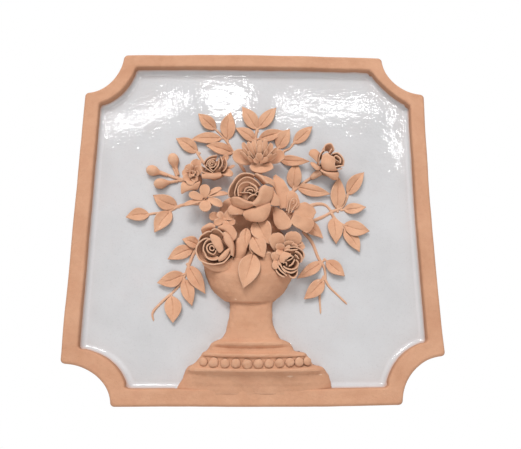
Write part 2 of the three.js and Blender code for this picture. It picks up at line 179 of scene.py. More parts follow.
def blade(clay, place, outline, rows=34, columns=20, thickness=LEAF_THICKNESS, seed=0,
          bend=0.0, arch=0.08, cup=0.08, curl=0.0, roll=0.0, wave=0.0, veins=0.0, lip=0.0):
    """Leaf or petal from a base to a tip, each across, up and height over the ground, and full width."""
    u0, v0, h0, u1, v1, h1, width = place
    base = np.array([u0, v0, GROUND + h0])
    tip = np.array([u1, v1, GROUND + h1])
    length = np.linalg.norm(tip - base)
    ahead = (tip - base) / length
    aside = unit(np.array([-ahead[1], ahead[0], 0.0]))
    out = np.cross(ahead, aside)
    if out[2] < 0:
        out = -out
    if roll:
        turned = math.radians(roll)
        aside, out = (aside * math.cos(turned) + out * math.sin(turned),
                      out * math.cos(turned) - aside * math.sin(turned))
    s = (1 - np.cos(np.linspace(0, math.pi, rows))) / 2
    s = 0.5 * s + 0.5 * np.linspace(0, 1, rows)
    t = np.sin(np.linspace(-math.pi / 2, math.pi / 2, columns))
    t = 0.35 * t + 0.65 * np.linspace(-1, 1, columns)
    grid_s, grid_t = np.meshgrid(s, t, indexing="ij")
    reach = width / 2 * outline(grid_s)
    lift = arch * length * np.sin(math.pi * grid_s) + curl * length * np.maximum(0, grid_s - 0.45) ** 2
    fold = np.sqrt(grid_t ** 2 + 0.01) - 0.1 if veins else grid_t ** 2
    lift = lift + cup * width * fold * np.sin(math.pi * np.clip(grid_s, 0.05, 0.95)) ** 0.5
    if wave:
        lift = lift + wave * np.sin(grid_s * 9.5 + seed + 1.3 * np.sign(grid_t)) * np.abs(grid_t) ** 2
    if lip:
        lift = lift - lip * np.maximum(0, np.maximum(np.abs(grid_t), grid_s) - 0.72) ** 2 * 12
    side = bend * length * np.sin(math.pi * grid_s * 0.9)
    middle = (base + ahead * (grid_s * length)[..., None] + aside * (reach * grid_t + side)[..., None]
              + out * lift[..., None])
    middle = middle + out * (0.25 * ripple(middle, 11, seed + 50))[..., None]
    reach_edge = (1 - np.abs(grid_t)) * np.maximum(reach, 0.3) / 0.5
    end_edge = np.minimum(grid_s, 1 - grid_s) * length / 0.6
    edge = np.clip(np.minimum(reach_edge, end_edge), 0, 1)
    rounding = np.sqrt(np.clip(1 - (1 - edge) ** 2, 0, 1))
    full = thickness * (1 - 0.25 * grid_s)
    relief = None
    if veins:
        wander = 0.5 * np.sin(grid_s * 4 + seed)
        rib = np.exp(-((grid_t * reach - wander * grid_s) / 0.42) ** 2)
        relief = -0.7 * veins * rib * np.clip((0.78 - grid_s) * 5, 0, 1)
        for k in range(1, 5):
            run = grid_s - (k / 5.4 - 0.06) - 0.26 * np.abs(grid_t) ** 1.2
            relief = relief - 0.2 * veins * np.exp(-((run * length) / 0.42) ** 2) * (np.abs(grid_t) < 0.8)
        relief = relief * rounding
    closed_sheet(clay, middle, full * rounding, relief)


def leaf_outline(s):
    """Share of the half width of a leaf from base to tip: broad before its middle, with a drawn-out tip."""
    return 0.05 * (1 - s) + s ** 0.8 * (1 - s) ** 1.1 / 0.274


def petal_outline(s):
    """Share of the half width of a rounded petal, widest past its middle."""
    swell = np.sqrt(np.clip(1 - ((s - 0.6) / 0.4) ** 2, 0, 1))
    neck = 0.42 + 0.58 * np.sin(math.pi / 2 * np.clip(s / 0.6, 0, 1))
    return np.where(s < 0.6, neck, 0.04 + 0.96 * swell)


def slat_outline(s):
    """Share of the half width of a narrow upright petal with a round end."""
    neck = 0.55 + 0.45 * np.sin(math.pi / 2 * np.clip(s / 0.6, 0, 1))
    return neck * np.sqrt(np.clip(1 - np.clip((s - 0.68) / 0.32, 0, 1) ** 2, 0, 1)) + 0.04


def between(a, b, c, d, x):
    """Smooth way from b to c at shares x, with a before them and d after."""
    square = 2 * a - 5 * b + 4 * c - d
    cube = 3 * b - a - 3 * c + d
    return 0.5 * (2 * b + (c - a) * x + square * x ** 2 + cube * x ** 3)


def padded(knots):
    """Knots with one more at each end, straight on."""
    return np.concatenate([[2 * knots[0] - knots[1]], knots, [2 * knots[-1] - knots[-2]]])


def curve(knots, steps):
    """Smooth line through the knots, cut into a number of steps between each two."""
    ends = padded(knots)
    x = np.linspace(0, 1, steps, endpoint=False)[:, None]
    spans = [between(*ends[i:i + 4], x) for i in range(len(knots) - 1)]
    return np.concatenate(spans + [knots[-1:]])


def rod(clay, path, thickness, seed=0, taper=0.35, sides=12):
    """Hand-rolled rod of clay through places given as across, up and height over the ground."""
    knots = np.array(path, float)
    knots[:, 2] += GROUND
    line = curve(knots, 9)
    share = np.linspace(0, 1, len(line))
    forward = unit(np.gradient(line, axis=0))
    aside = unit(np.cross(forward, [0.0, 0.0, 1.0]))
    out = np.cross(aside, forward)
    radius = thickness / 2 * (1 - taper * share) * (1 + 0.09 * ripple(line, 9, seed))
    cap = np.minimum(1, np.minimum(share, 1 - share) * len(line) / 2.5)
    radius = radius * np.sqrt(np.clip(1 - (1 - cap) ** 2, 0.02, 1))
    turn = np.linspace(0, 2 * math.pi, sides, endpoint=False)
    ring = (line[:, None] + aside[:, None] * (radius[:, None] * np.cos(turn))[..., None]
            + out[:, None] * (radius[:, None] * 0.86 * np.sin(turn))[..., None])
    clay.tube(ring)


def lump(clay, u, v, radius, height, seed=0, squash=1.0):
    """Uneven dome of clay that carries a flower."""
    rows, columns = 14, 28
    polar = np.linspace(0.04, math.pi / 2, rows)
    turn = np.linspace(0, 2 * math.pi, columns, endpoint=False)
    grid_p, grid_a = np.meshgrid(polar, turn, indexing="ij")
    flat = np.sin(grid_p) ** 0.75
    x = u + radius * flat * np.cos(grid_a)
    y = v + radius * squash * flat * np.sin(grid_a)
    z = GROUND + height * np.cos(grid_p) ** 0.8 - 1.5 * (grid_p > 1.5)
    ring = np.stack([x, y, z], -1)
    ring = ring + (unit(ring - np.array([u, v, GROUND - 2])) * (0.6 * ripple(ring, 9, seed))[..., None])
    clay.tube(ring)


def node_material(name):
    """New material with its node tree emptied down to a Principled shader."""
    material = bpy.data.materials.new(name)
    material.use_nodes = True
    nodes, links = material.node_tree.nodes, material.node_tree.links
    nodes.clear()
    output = nodes.new("ShaderNodeOutputMaterial")
    shader = nodes.new("ShaderNodeBsdfPrincipled")
    links.new(shader.outputs["BSDF"], output.inputs["Surface"])
    return material, nodes, links, shader


def noise(nodes, links, source, scale, detail=3.0, rough=0.55, stretch=None):
    """Noise texture on object coordinates, per metre, optionally stretched along an axis."""
    mapping = nodes.new("ShaderNodeMapping")
    if stretch:
        mapping.inputs["Scale"].default_value = stretch
    links.new(source, mapping.inputs["Vector"])
    texture = nodes.new("ShaderNodeTexNoise")
    texture.inputs["Scale"].default_value = scale
    texture.inputs["Detail"].default_value = detail
    texture.inputs["Roughness"].default_value = rough
    links.new(mapping.outputs["Vector"], texture.inputs["Vector"])
    return texture.outputs["Fac"]


def ramp(nodes, links, value, stops):
    """Colour ramp with stops given as position and colour, or position and a number for a grey."""
    made = nodes.new("ShaderNodeValToRGB")
    elements = made.color_ramp.elements
    while len(elements) < len(stops):
        elements.new(0.5)
    for element, (place, colour) in zip(elements, stops):
        element.position = place
        element.color = (*colour, 1) if isinstance(colour, tuple) else (colour, colour, colour, 1)
    links.new(value, made.inputs["Fac"])
    return made.outputs["Color"]


def blend(nodes, links, share, first, second, mode="MIX"):
    """Mixes two colours by a share, which may be a socket or a number."""
    made = nodes.new("ShaderNodeMix")
    made.data_type = "RGBA"
    made.blend_type = mode
    if isinstance(share, (int, float)):
        made.inputs["Factor"].default_value = share
    else:
        links.new(share, made.inputs["Factor"])
    for socket, value in ((made.inputs["A"], first), (made.inputs["B"], second)):
        if isinstance(value, tuple):
            socket.default_value = (*value, 1)
        else:
            links.new(value, socket)
    return made.outputs["Result"]


def bump(nodes, links, height, distance, strength, normal=None):
    """Bump from a height, on top of an earlier normal if one is given."""
    made = nodes.new("ShaderNodeBump")
    made.inputs["Distance"].default_value = distance
    made.inputs["Strength"].default_value = strength
    links.new(height, made.inputs["Height"])
    if normal is not None:
        links.new(normal, made.inputs["Normal"])
    return made.outputs["Normal"]


def painted_crease_shade(nodes, links, reach, low, high, deep):
    """Painted shade: grey that darkens toward a given depth of tone in each crease and hollow where shade
    falls, found by ambient occlusion within a reach in metres.
    """
    hollow = nodes.new("ShaderNodeAmbientOcclusion")
    hollow.samples = 8
    hollow.inputs["Distance"].default_value = reach
    return ramp(nodes, links, hollow.outputs["AO"], [(low, (deep, 0.86 * deep, 0.8 * deep)), (high, 1)])


# Colours of the clay: body, flowers, smears, the paler and darker tones laid on by Pointiness, which on the
# relief paint a highlight along edges and shade in each seam, and the staining beside the glaze, which also
# paints shade on the rim's inner face.
BODY_LIGHT, BODY_DARK = (0.765, 0.425, 0.265), (0.65, 0.335, 0.2)
FLOWER_LIGHT, FLOWER_DARK = (0.85, 0.49, 0.31), (0.72, 0.375, 0.225)
PALE_SMEAR = (0.76, 0.45, 0.3)
ROSY_SMEAR = (0.56, 0.25, 0.15)
LIGHTENING_TONE = (0.93, 0.66, 0.48)
DARKENING_TONE = (0.45, 0.36, 0.32)
GLAZE_STAIN_AND_SHADE = (0.3, 0.125, 0.07)
# Colours of the glaze: its clouds, where it is thinner, along its border, where it pools, and its specks.
GLAZE_DARK, GLAZE_MIDDLE, GLAZE_LIGHT = (0.665, 0.66, 0.668), (0.7, 0.695, 0.705), (0.735, 0.735, 0.747)
GLAZE_BLUSH = (0.72, 0.64, 0.635)
GLAZE_BORDER = (0.66, 0.47, 0.4)
GLAZE_POOL = (0.8, 0.8, 0.82)
GLAZE_SPECK = (0.72, 0.7, 0.7)


# Painted highlight along edges and painted shade in each seam, by Pointiness, which is over a half on an
# edge and under it in a seam.
PAINTED_EDGE_LIGHT_AND_SEAM_SHADE = dict(lightening=[(0.51, 0), (0.6, 0.6)], darkening=[(0.4, DARKENING_TONE), (0.485, 1)])
# On the slab this is turned round: the edges are darker and the foot of the rim is paler.
SLAB_EDGE_TONES = dict(lightening=[(0.4, 0.6), (0.49, 0)], darkening=[(0.515, 1), (0.6, DARKENING_TONE)])


def clay_material(name, light, dark, shift, edge_tones=PAINTED_EDGE_LIGHT_AND_SEAM_SHADE):
    """Bare fired clay, dry and matt, with smears, grain and small pits, painted shade in each crease and
    hollow, and tones by Pointiness, which by default paint a highlight along edges and shade in each seam.
    """
    material, nodes, links, shader = node_material(name)
    place = nodes.new("ShaderNodeTexCoord").outputs["Object"]
    moved = nodes.new("ShaderNodeMapping")
    moved.inputs["Location"].default_value = (shift, 0.3 * shift, -shift)
    links.new(place, moved.inputs["Vector"])
    place = moved.outputs["Vector"]
    patches = noise(nodes, links, place, 42, 4)
    halfway = tuple(0.5 * (a + b) for a, b in zip(light, dark))
    colour = ramp(nodes, links, patches, [(0.33, dark), (0.52, halfway), (0.7, light)])
    smears = noise(nodes, links, place, 160, 4, 0.6, (1.0, 1.0, 1.5))
    colour = blend(nodes, links, ramp(nodes, links, smears, [(0.42, 0), (0.75, 0.3)]), colour, PALE_SMEAR)
    rosy = noise(nodes, links, place, 85, 2)
    colour = blend(nodes, links, ramp(nodes, links, rosy, [(0.5, 0), (0.78, 0.34)]), colour, ROSY_SMEAR)
    grain = noise(nodes, links, place, 1500, 3, 0.7)
    specks = ramp(nodes, links, grain, [(0.28, 0.62), (0.44, 1)])
    colour = blend(nodes, links, 0.42, colour, specks, "MULTIPLY")
    # Staining beside the glaze over the rim's inner face: partly a real stain and partly painted shade.
    foot_stain_and_shade = nodes.new("ShaderNodeAttribute")
    foot_stain_and_shade.attribute_name = "foot_stain_and_shade"
    colour = blend(nodes, links, foot_stain_and_shade.outputs["Fac"], colour, GLAZE_STAIN_AND_SHADE)
    # Painted shade in each narrow crease first, then in the deep hollows between petals.
    for crease in ((0.004, 0.2, 0.72, 0.42), (0.018, 0.08, 0.42, 0.26)):
        colour = blend(nodes, links, 0.85, colour, painted_crease_shade(nodes, links, *crease), "MULTIPLY")
    # Paler and darker tones by Pointiness: with the default toning, a painted highlight along edges and
    # painted shade in each seam. The slab's toning turns them round.
    edges = nodes.new("ShaderNodeNewGeometry").outputs["Pointiness"]
    lightening = ramp(nodes, links, edges, edge_tones["lightening"])
    colour = blend(nodes, links, lightening, colour, LIGHTENING_TONE)
    darkening = ramp(nodes, links, edges, edge_tones["darkening"])
    colour = blend(nodes, links, 0.8, colour, darkening, "MULTIPLY")
    links.new(colour, shader.inputs["Base Color"])
    rough = ramp(nodes, links, smears, [(0.3, 0.78), (0.7, 0.93)])
    links.new(rough, shader.inputs["Roughness"])
    shader.inputs["Specular IOR Level"].default_value = 0.28
    pits = nodes.new("ShaderNodeTexVoronoi")
    pits.inputs["Scale"].default_value = 420
    links.new(place, pits.inputs["Vector"])
    pit_height = ramp(nodes, links, pits.outputs["Distance"], [(0.06, 0), (0.2, 1)])
    normal = bump(nodes, links, smears, 0.0013, 0.4)
    normal = bump(nodes, links, grain, 0.0003, 0.4, normal)
    normal = bump(nodes, links, pit_height, 0.0003, 0.25, normal)
    links.new(normal, shader.inputs["Normal"])
    return material


def glaze_material():
    """Glossy pale glaze, greyish white, pinker where it is thin over the clay, with a wavy surface and
    painted shade where it meets the relief.
    """
    material, nodes, links, shader = node_material("pale_glaze")
    place = nodes.new("ShaderNodeTexCoord").outputs["Object"]
    clouds = noise(nodes, links, place, 26, 5, 0.6)
    colour = ramp(nodes, links, clouds, [(0.3, GLAZE_DARK), (0.5, GLAZE_MIDDLE), (0.72, GLAZE_LIGHT)])
    thin = noise(nodes, links, place, 22, 5, 0.6)
    colour = blend(nodes, links, ramp(nodes, links, thin, [(0.5, 0), (0.75, 0.32)]), colour, GLAZE_BLUSH)
    thickness = nodes.new("ShaderNodeAttribute")
    thickness.attribute_name = "glaze_depth"
    border = ramp(nodes, links, thickness.outputs["Fac"], [(0.0, 0.9), (0.25, 0.3), (0.48, 0)])
    colour = blend(nodes, links, border, colour, GLAZE_BORDER)
    pool = ramp(nodes, links, thickness.outputs["Fac"], [(0.62, 0), (1.0, 0.7)])
    colour = blend(nodes, links, pool, colour, GLAZE_POOL)
    specks = noise(nodes, links, place, 900, 2, 0.6)
    specks = ramp(nodes, links, specks, [(0.25, GLAZE_SPECK), (0.42, 1)])
    colour = blend(nodes, links, 0.3, colour, specks, "MULTIPLY")
    # Painted shade where the glaze meets the leaves, stems, flowers and urn, by ambient occlusion.
    colour = blend(nodes, links, 0.8, colour, painted_crease_shade(nodes, links, 0.003, 0.3, 0.62, 0.5), "MULTIPLY")
    links.new(colour, shader.inputs["Base Color"])
    rough = ramp(nodes, links, thin, [(0.35, 0.02), (0.75, 0.05)])
    links.new(rough, shader.inputs["Roughness"])
    shader.inputs["Specular IOR Level"].default_value = 0.55
    waves = noise(nodes, links, place, 210, 3, 0.55, (0.7, 1.0, 1.0))
    orange = noise(nodes, links, place, 620, 2, 0.5, (0.8, 1.0, 1.0))
    normal = bump(nodes, links, waves, 0.000125, 1.0)
    normal = bump(nodes, links, orange, 0.00001, 1.0, normal)
    links.new(normal, shader.inputs["Normal"])
    return material


# Each notch was cut by eye: its reach across and up, by the corner's side and end (-1 is left or low).
NOTCH_ACROSS = {(-1, 1): 31.5, (1, 1): 36.0, (-1, -1): 41.0, (1, -1): 36.0}
NOTCH_UP = {(-1, 1): 38.0, (1, 1): 36.0, (-1, -1): 31.2, (1, -1): 36.3}
# How much flatter the inner edge of the rim is than the notch halfway round it. Below zero it is rounder.
FLATNESS = {(-1, 1): -0.4, (1, 1): 3.0, (-1, -1): -1.8, (1, -1): -1.4}
# The flatness grows inward from the notch, up to this many times its value at the rim's inner edge.
MOST_FLATNESS = 1.3
LOW_RIGHT_RISE = 2.8
# How softly the glaze's edge turns where the straight sides of the rim meet its curved corners.
INNER_SOFTNESS = 1.0


def by_corner(values, across, up):
    """Value of the nearest corner, from a table by corner, for arrays of places."""
    found = np.zeros(np.shape(across))
    for (side, end), value in values.items():
        found = np.where(((across >= 0) == (side > 0)) & ((up >= 0) == (end > 0)), value, found)
    return found


def hand_cut(across, up, sign=1):
    """The slab was cut by hand: right side a little hollow, top corners low and lower right corner high."""
    right = np.maximum(0, across / HALF)
    top = np.maximum(0, up / HALF) ** 3
    low = np.maximum(0, -up / HALF) ** 3
    span = HALF - NOTCH_RADIUS
    hollow = RIGHT_SIDE_HOLLOW * right ** 3 * np.maximum(0, 1 - (up / span) ** 2)
    fall = TOP_CORNER_FALL * top * (across / span) ** 2 - LOW_RIGHT_RISE * low * right ** 2.5
    return across - sign * hollow, up - sign * fall


def outline(inset, corner_steps=7, arc_steps=30, side_steps=46):
    """Outline of the slab drawn in by a distance, as points across and up."""
    edge = HALF - inset
    notch = NOTCH_RADIUS + inset
    soft = OUTLINE_ROUNDING
    reach = math.sqrt((notch + soft) ** 2 - (inset + soft) ** 2)
    centre = np.array([HALF - reach, edge - soft])
    slope = math.atan2(HALF - centre[1], HALF - centre[0])
    bend = np.linspace(math.pi / 2, slope, corner_steps)
    corner = centre + soft * np.stack([np.cos(bend), np.sin(bend)], 1)
    sweep = np.linspace(slope + math.pi, 1.5 * math.pi - slope, arc_steps + 1)[1:-1]
    inner = min(inset / RIM_WIDTH, MOST_FLATNESS)
    side_up = np.linspace(corner[0, 0], -corner[0, 0], side_steps)[1:-1]
    side = np.stack([np.full_like(side_up, edge), side_up], 1)
    rings = []
    for turn, which in enumerate(((1, 1), (1, -1), (-1, -1), (-1, 1))):
        flat = notch - FLATNESS[which] * inner * np.sin(2 * sweep) ** 2
        arc_points = HALF + flat[:, None] * np.stack([np.cos(sweep), np.sin(sweep)], 1)
        quarter = np.concatenate([corner, arc_points, corner[::-1, ::-1], side])
        x, y = quarter.T
        for _ in range(turn):
            x, y = y, -x
        rings.append(np.stack([x, y], 1))
    across, up = np.concatenate(rings).T
    placed = []
    for value, sizes in ((across, NOTCH_ACROSS), (up, NOTCH_UP)):
        size = by_corner(sizes, across, up)
        depth = HALF - np.abs(value)
        near = inset + (depth - inset) * size / NOTCH_RADIUS
        far = size + inset + (depth - notch) * (HALF - size - inset) / (HALF - notch)
        placed.append(np.where(value < 0, -1, 1) * (HALF - np.where(depth <= notch, near, far)))
    across, up = hand_cut(*placed)
    return np.stack([across, up], 1)


# Rounding at the back edge and rows up the side: inset and height off the wall.
BACK_EDGE = [(0.8, 0.0), (0.25, 0.2), (0.0, 0.8), (0.0, 6.0), (0.0, 12.0)]
INNER_ROUNDING = 1.6
# Rows across the front of the rim, as shares of its width, and how far it is dished.
FRONT_ROWS = (0.32, 0.44, 0.56, 0.68)
RIM_DISH = 0.2
# Inner face of the rim: how far it leans out below its rounding, and the height over the ground there.
RIM_FOOT = [(0.1, 4.4), (0.2, 2.6), (0.3, 0.8), (0.6, 0), (1.4, 0)]
# The ground's last full outline lies this far inside the rim. Within it, one more ring closes the middle.
GROUND_RING = 30
MIDDLE_INSET = 80
MIDDLE_SHARE = 0.3


def slab_profile():
    """Steps of inset and height off the wall, from the back over the rim to the ground."""
    soft = FRONT_ROUNDING
    steps = BACK_EDGE + [(0.0, RIM_DEPTH - soft)]
    for k in range(1, 7):
        turn = math.pi / 2 * k / 6
        steps.append((soft * (1 - math.cos(turn)), RIM_DEPTH - soft * (1 - math.sin(turn))))
    steps += [(share * RIM_WIDTH, RIM_DEPTH - RIM_DISH * math.sin(math.pi * share)) for share in FRONT_ROWS]
    inner = INNER_ROUNDING
    for k in range(0, 7):
        turn = math.pi / 2 * k / 6
        steps.append((RIM_WIDTH - inner + inner * math.sin(turn), RIM_DEPTH - inner * (1 - math.cos(turn))))
    steps += [(RIM_WIDTH + lean, GROUND + height) for lean, height in RIM_FOOT]
    return steps + [(RIM_WIDTH + GROUND_RING, GROUND), (MIDDLE_INSET, GROUND)]


def build_slab(material):
    """Back, sides, rim and the bare ground under the glaze."""
    clay = Clay()
    rings = []
    for inset, out in slab_profile():
        flat = outline(min(inset, RIM_WIDTH + GROUND_RING))
        if inset > RIM_WIDTH + GROUND_RING:
            flat = flat * MIDDLE_SHARE
        rings.append(np.column_stack([flat, np.full(len(flat), out)]))
    rings = np.array(rings)
    rows, columns, _ = rings.shape
    # The hand's unevenness fades out toward the wall outside and toward the ground inside the rim.
    still = np.where(np.arange(rows)[:, None] > 12, GROUND + 2, 3)
    worked = np.clip((rings[..., 2] - still) / 3, 0, 1)[..., None]
    inward = np.zeros_like(rings)
    inward[..., :2] = -rings[..., :2] / np.linalg.norm(rings[..., :2], axis=-1, keepdims=True)
    uneven = 0.16 * (ripple(rings, 60, 3) + 1) + 0.05 * ripple(rings, 16, 4)
    rings = rings + worked * inward * np.clip(uneven, 0, 0.9)[..., None]
    rings[..., 2] += worked[..., 0] * (0.25 * ripple(rings, 48, 5) + 0.05 * ripple(rings, 14, 6))
    clay.tube(rings)
    made = clay.piece("clay_slab", material, relief=False)
    # Staining over the rim's inner face and foot beside the glaze, partly a real stain and partly painted
    # shade.
    foot = np.array([0.45 * np.clip((inset - RIM_WIDTH + 0.3) / 0.6, 0, 1) for inset, _ in slab_profile()])
    layer = made.data.attributes.new("foot_stain_and_shade", "FLOAT", "POINT")
    layer.data.foreach_set("value", np.repeat(foot, columns).astype(np.float32))
    return made


def rim_inset(across, up):
    """How far inside the plaque's outline a point lies, for arrays of places on the face."""
    u, v = hand_cut(across, up, -1)
    wide, tall = by_corner(NOTCH_ACROSS, u, v), by_corner(NOTCH_UP, u, v)
    deep_u, deep_v = HALF - np.abs(u), HALF - np.abs(v)
    inset = np.hypot(deep_u, deep_v) - NOTCH_RADIUS
    flatness = by_corner(FLATNESS, u, v)
    for _ in range(6):
        x = inset + (deep_u - inset) * NOTCH_RADIUS / wide
        y = inset + (deep_v - inset) * NOTCH_RADIUS / tall
        bulge = flatness * np.clip(inset / RIM_WIDTH, 0, MOST_FLATNESS) * np.sin(2 * np.arctan2(y, x)) ** 2
        inset = np.hypot(x, y) - NOTCH_RADIUS + bulge
    straight = np.minimum(deep_u, deep_v)
    apart = np.abs(inset - straight)
    return np.minimum(inset, straight) - INNER_SOFTNESS * np.log1p(np.exp(-apart / INNER_SOFTNESS))


BOWL = {"across": -4.5, "up": -38.0, "radius": 37.5, "relief": 21.0}
# Below this height the stem takes over from the bowl.
BOWL_FOOT = -70.2
# Share of its relief that the bowl keeps at each height, because it fades out under the flowers.
BOWL_FADE = ((-50, 1), (-38, 0.8), (-24, 0.4), (-3, 0.12))
# How square the sections across the bowl and the foot are. Two is an ellipse.
BOWL_SQUARENESS, FOOT_SQUARENESS = 2.25, 3.2
# How far the urn's mouldings sag in their middle, at each height.
SAG = ((-141, 0), (-136, 0.3), (-125, 0.9), (-105, 1.1), (-80, 0.8), (-74, 1.6), (-66, 0.6), (-3, 0))
# Rows of the urn's mesh, closest together in its mouldings: first and last height, and how many.
URN_ROWS = ((-3, -66, 70), (-66.6, -73, 26), (-73.6, -98, 36), (-98.4, -127, 110), (-127.6, -141, 26))
# Stem, ring, fillet, bead band and stepped foot of the urn: height, left, right, relief.
FOOT = [
    (-71.0, -20.6, 14.2, 10.6), (-73.5, -20.0, 13.9, 10.9), (-77, -19.6, 13.8, 10.8),
    (-83, -20.4, 14.1, 11.0),
    (-89, -21.6, 15.2, 11.4), (-94, -23.0, 17.2, 12.0), (-98, -25.0, 19.6, 12.8), (-99.8, -26.4, 20.6, 13.4),
    (-100.6, -29.5, 23.0, 15.2), (-101.6, -32.0, 25.6, 16.2), (-103.2, -34.4, 28.2, 16.0),
    (-104.8, -35.6, 29.4, 14.4), (-105.6, -36.0, 29.9, 13.2), (-108.2, -37.4, 31.4, 13.4),
    (-109.2, -38.4, 32.2, 14.2), (-109.8, -40.2, 38.6, 16.6), (-111.0, -41.4, 41.0, 17.0),
    (-112.3, -42.0, 41.8, 16.6), (-113.0, -42.4, 42.4, 14.9), (-114.2, -43.4, 43.6, 14.9),
    (-117.5, -46.4, 45.2, 15.0), (-119.4, -49.0, 46.6, 15.0), (-120.6, -51.4, 51.6, 15.2),
    (-121.3, -52.4, 54.2, 17.0), (-123.2, -53.6, 55.6, 16.9), (-124.4, -54.2, 56.4, 15.0),
    (-126.2, -55.0, 57.4, 12.6), (-129.0, -56.0, 59.0, 11.6), (-132.0, -57.4, 60.4, 10.6),
    (-135.0, -59.4, 61.0, 9.6), (-137.5, -61.4, 61.6, 9.2), (-141.0, -62.4, 62.4, 8.5),
]


def urn_edges(up):
    """Left edge, right edge, relief and squareness of the urn at each height."""
    sine = np.clip((up - BOWL["up"]) / BOWL["radius"], -1, 1)
    reach = BOWL["radius"] * np.sqrt(1 - sine ** 2)
    foot = np.array(FOOT)[::-1]
    in_bowl = up > BOWL_FOOT
    left = np.where(in_bowl, BOWL["across"] - reach, np.interp(up, foot[:, 0], foot[:, 1]))
    right = np.where(in_bowl, BOWL["across"] + reach, np.interp(up, foot[:, 0], foot[:, 2]))
    full = BOWL["relief"] * np.sqrt(np.clip(1 - (sine * 0.86) ** 2, 0, 1))
    full = full * np.interp(up, *zip(*BOWL_FADE))
    relief = np.where(in_bowl, full, np.interp(up, foot[:, 0], foot[:, 3]))
    squareness = np.where(in_bowl, BOWL_SQUARENESS, FOOT_SQUARENESS)
    return left, right, relief, squareness


def build_urn(material):
    """Urn in half relief, its mouldings bowed a little and its surface uneven from the fingers."""
    clay = Clay()
    up = np.concatenate([np.linspace(*stretch) for stretch in URN_ROWS])
    left, right, relief, squareness = urn_edges(up)
    soften = np.array([1, 2, 3, 2, 1]) / 9
    left, right, relief, squareness = (np.convolve(np.pad(edge, 2, "edge"), soften, "valid")
                                       for edge in (left, right, relief, squareness))
    angle = np.linspace(math.pi, 0, 96)
    share = np.cos(angle)
    swell = (1 - np.abs(share)[None] ** squareness[:, None]) ** (1 / squareness[:, None])
    across = (left + right)[:, None] / 2 + (right - left)[:, None] / 2 * share[None]
    sag = np.interp(up, *zip(*SAG))
    height = up[:, None] - sag[:, None] * (1 - share[None] ** 2)
    out = GROUND + relief[:, None] * swell
    face = np.stack([across, height, out], -1)
    side = 0.2 * ripple(face, 13, 11) + 0.12 * ripple(face, 5, 12)
    face[..., 0] += side * share[None] * 1.6
    face[..., 2] += side * swell
    sunk = np.full(len(up), GROUND - 2)
    skirt = [np.stack([across[:, side], height[:, side], sunk], -1)[:, None] for side in (-1, 0)]
    clay.tube(np.concatenate([face, *skirt], 1))
    return clay.piece("urn", material)


# Half width and relief of the band that carries the beads, and how far it turns them at its ends.
BAND_HALF, BAND_RELIEF, BAND_TURN = 49, 15.0, 0.315
# Beads of the urn: across, up and radius of each.
BEADS = [
    (-39.4, -117.2, 3.3), (-31.3, -117.6, 3.9), (-22.5, -117.9, 3.6), (-14.2, -118.0, 3.7),
    (-5.7, -118.4, 4.0), (3.0, -118.1, 3.8), (11.2, -118.0, 3.6), (19.4, -117.6, 3.7),
    (27.2, -117.2, 3.6), (34.4, -117.1, 3.7), (41.0, -116.6, 3.3),
]


def build_beads(material):
    """Row of small balls pressed onto the band."""
    clay = Clay()
    rows, columns = 16, 26
    polar = np.linspace(0.05, math.pi - 0.05, rows)
    turn = np.linspace(0, 2 * math.pi, columns, endpoint=False)
    grid_p, grid_a = np.meshgrid(polar, turn, indexing="ij")
    for k, (across, up, radius) in enumerate(BEADS):
        swell = (1 - abs(across / BAND_HALF) ** FOOT_SQUARENESS) ** (1 / FOOT_SQUARENESS)
        bed = GROUND + BAND_RELIEF * swell
        ball = np.stack([np.sin(grid_p) * np.cos(grid_a), np.sin(grid_p) * np.sin(grid_a),
                         np.cos(grid_p) * 0.72], -1)
        ball = ball * radius * (1 + 0.045 * ripple(ball * 3.5, 4, 20 + k))[..., None]
        ball[..., 2] -= BAND_TURN * (across / BAND_HALF) ** 3 * ball[..., 0]
        ball = ball + np.array([across, up, bed - 0.15])
        clay.tube(ball)
    return clay.piece("urn_beads", material)


# The glaze's depth on the ground, and how far it climbs the rim and the sides of the urn.
GLAZE_DEPTH = 0.5
RIM_CLIMB = 2.8
URN_CLIMB = 0.6
# Its mesh is a square grid: step, and reach from the middle.
GLAZE_STEP, GLAZE_REACH = 1.0, 140.0


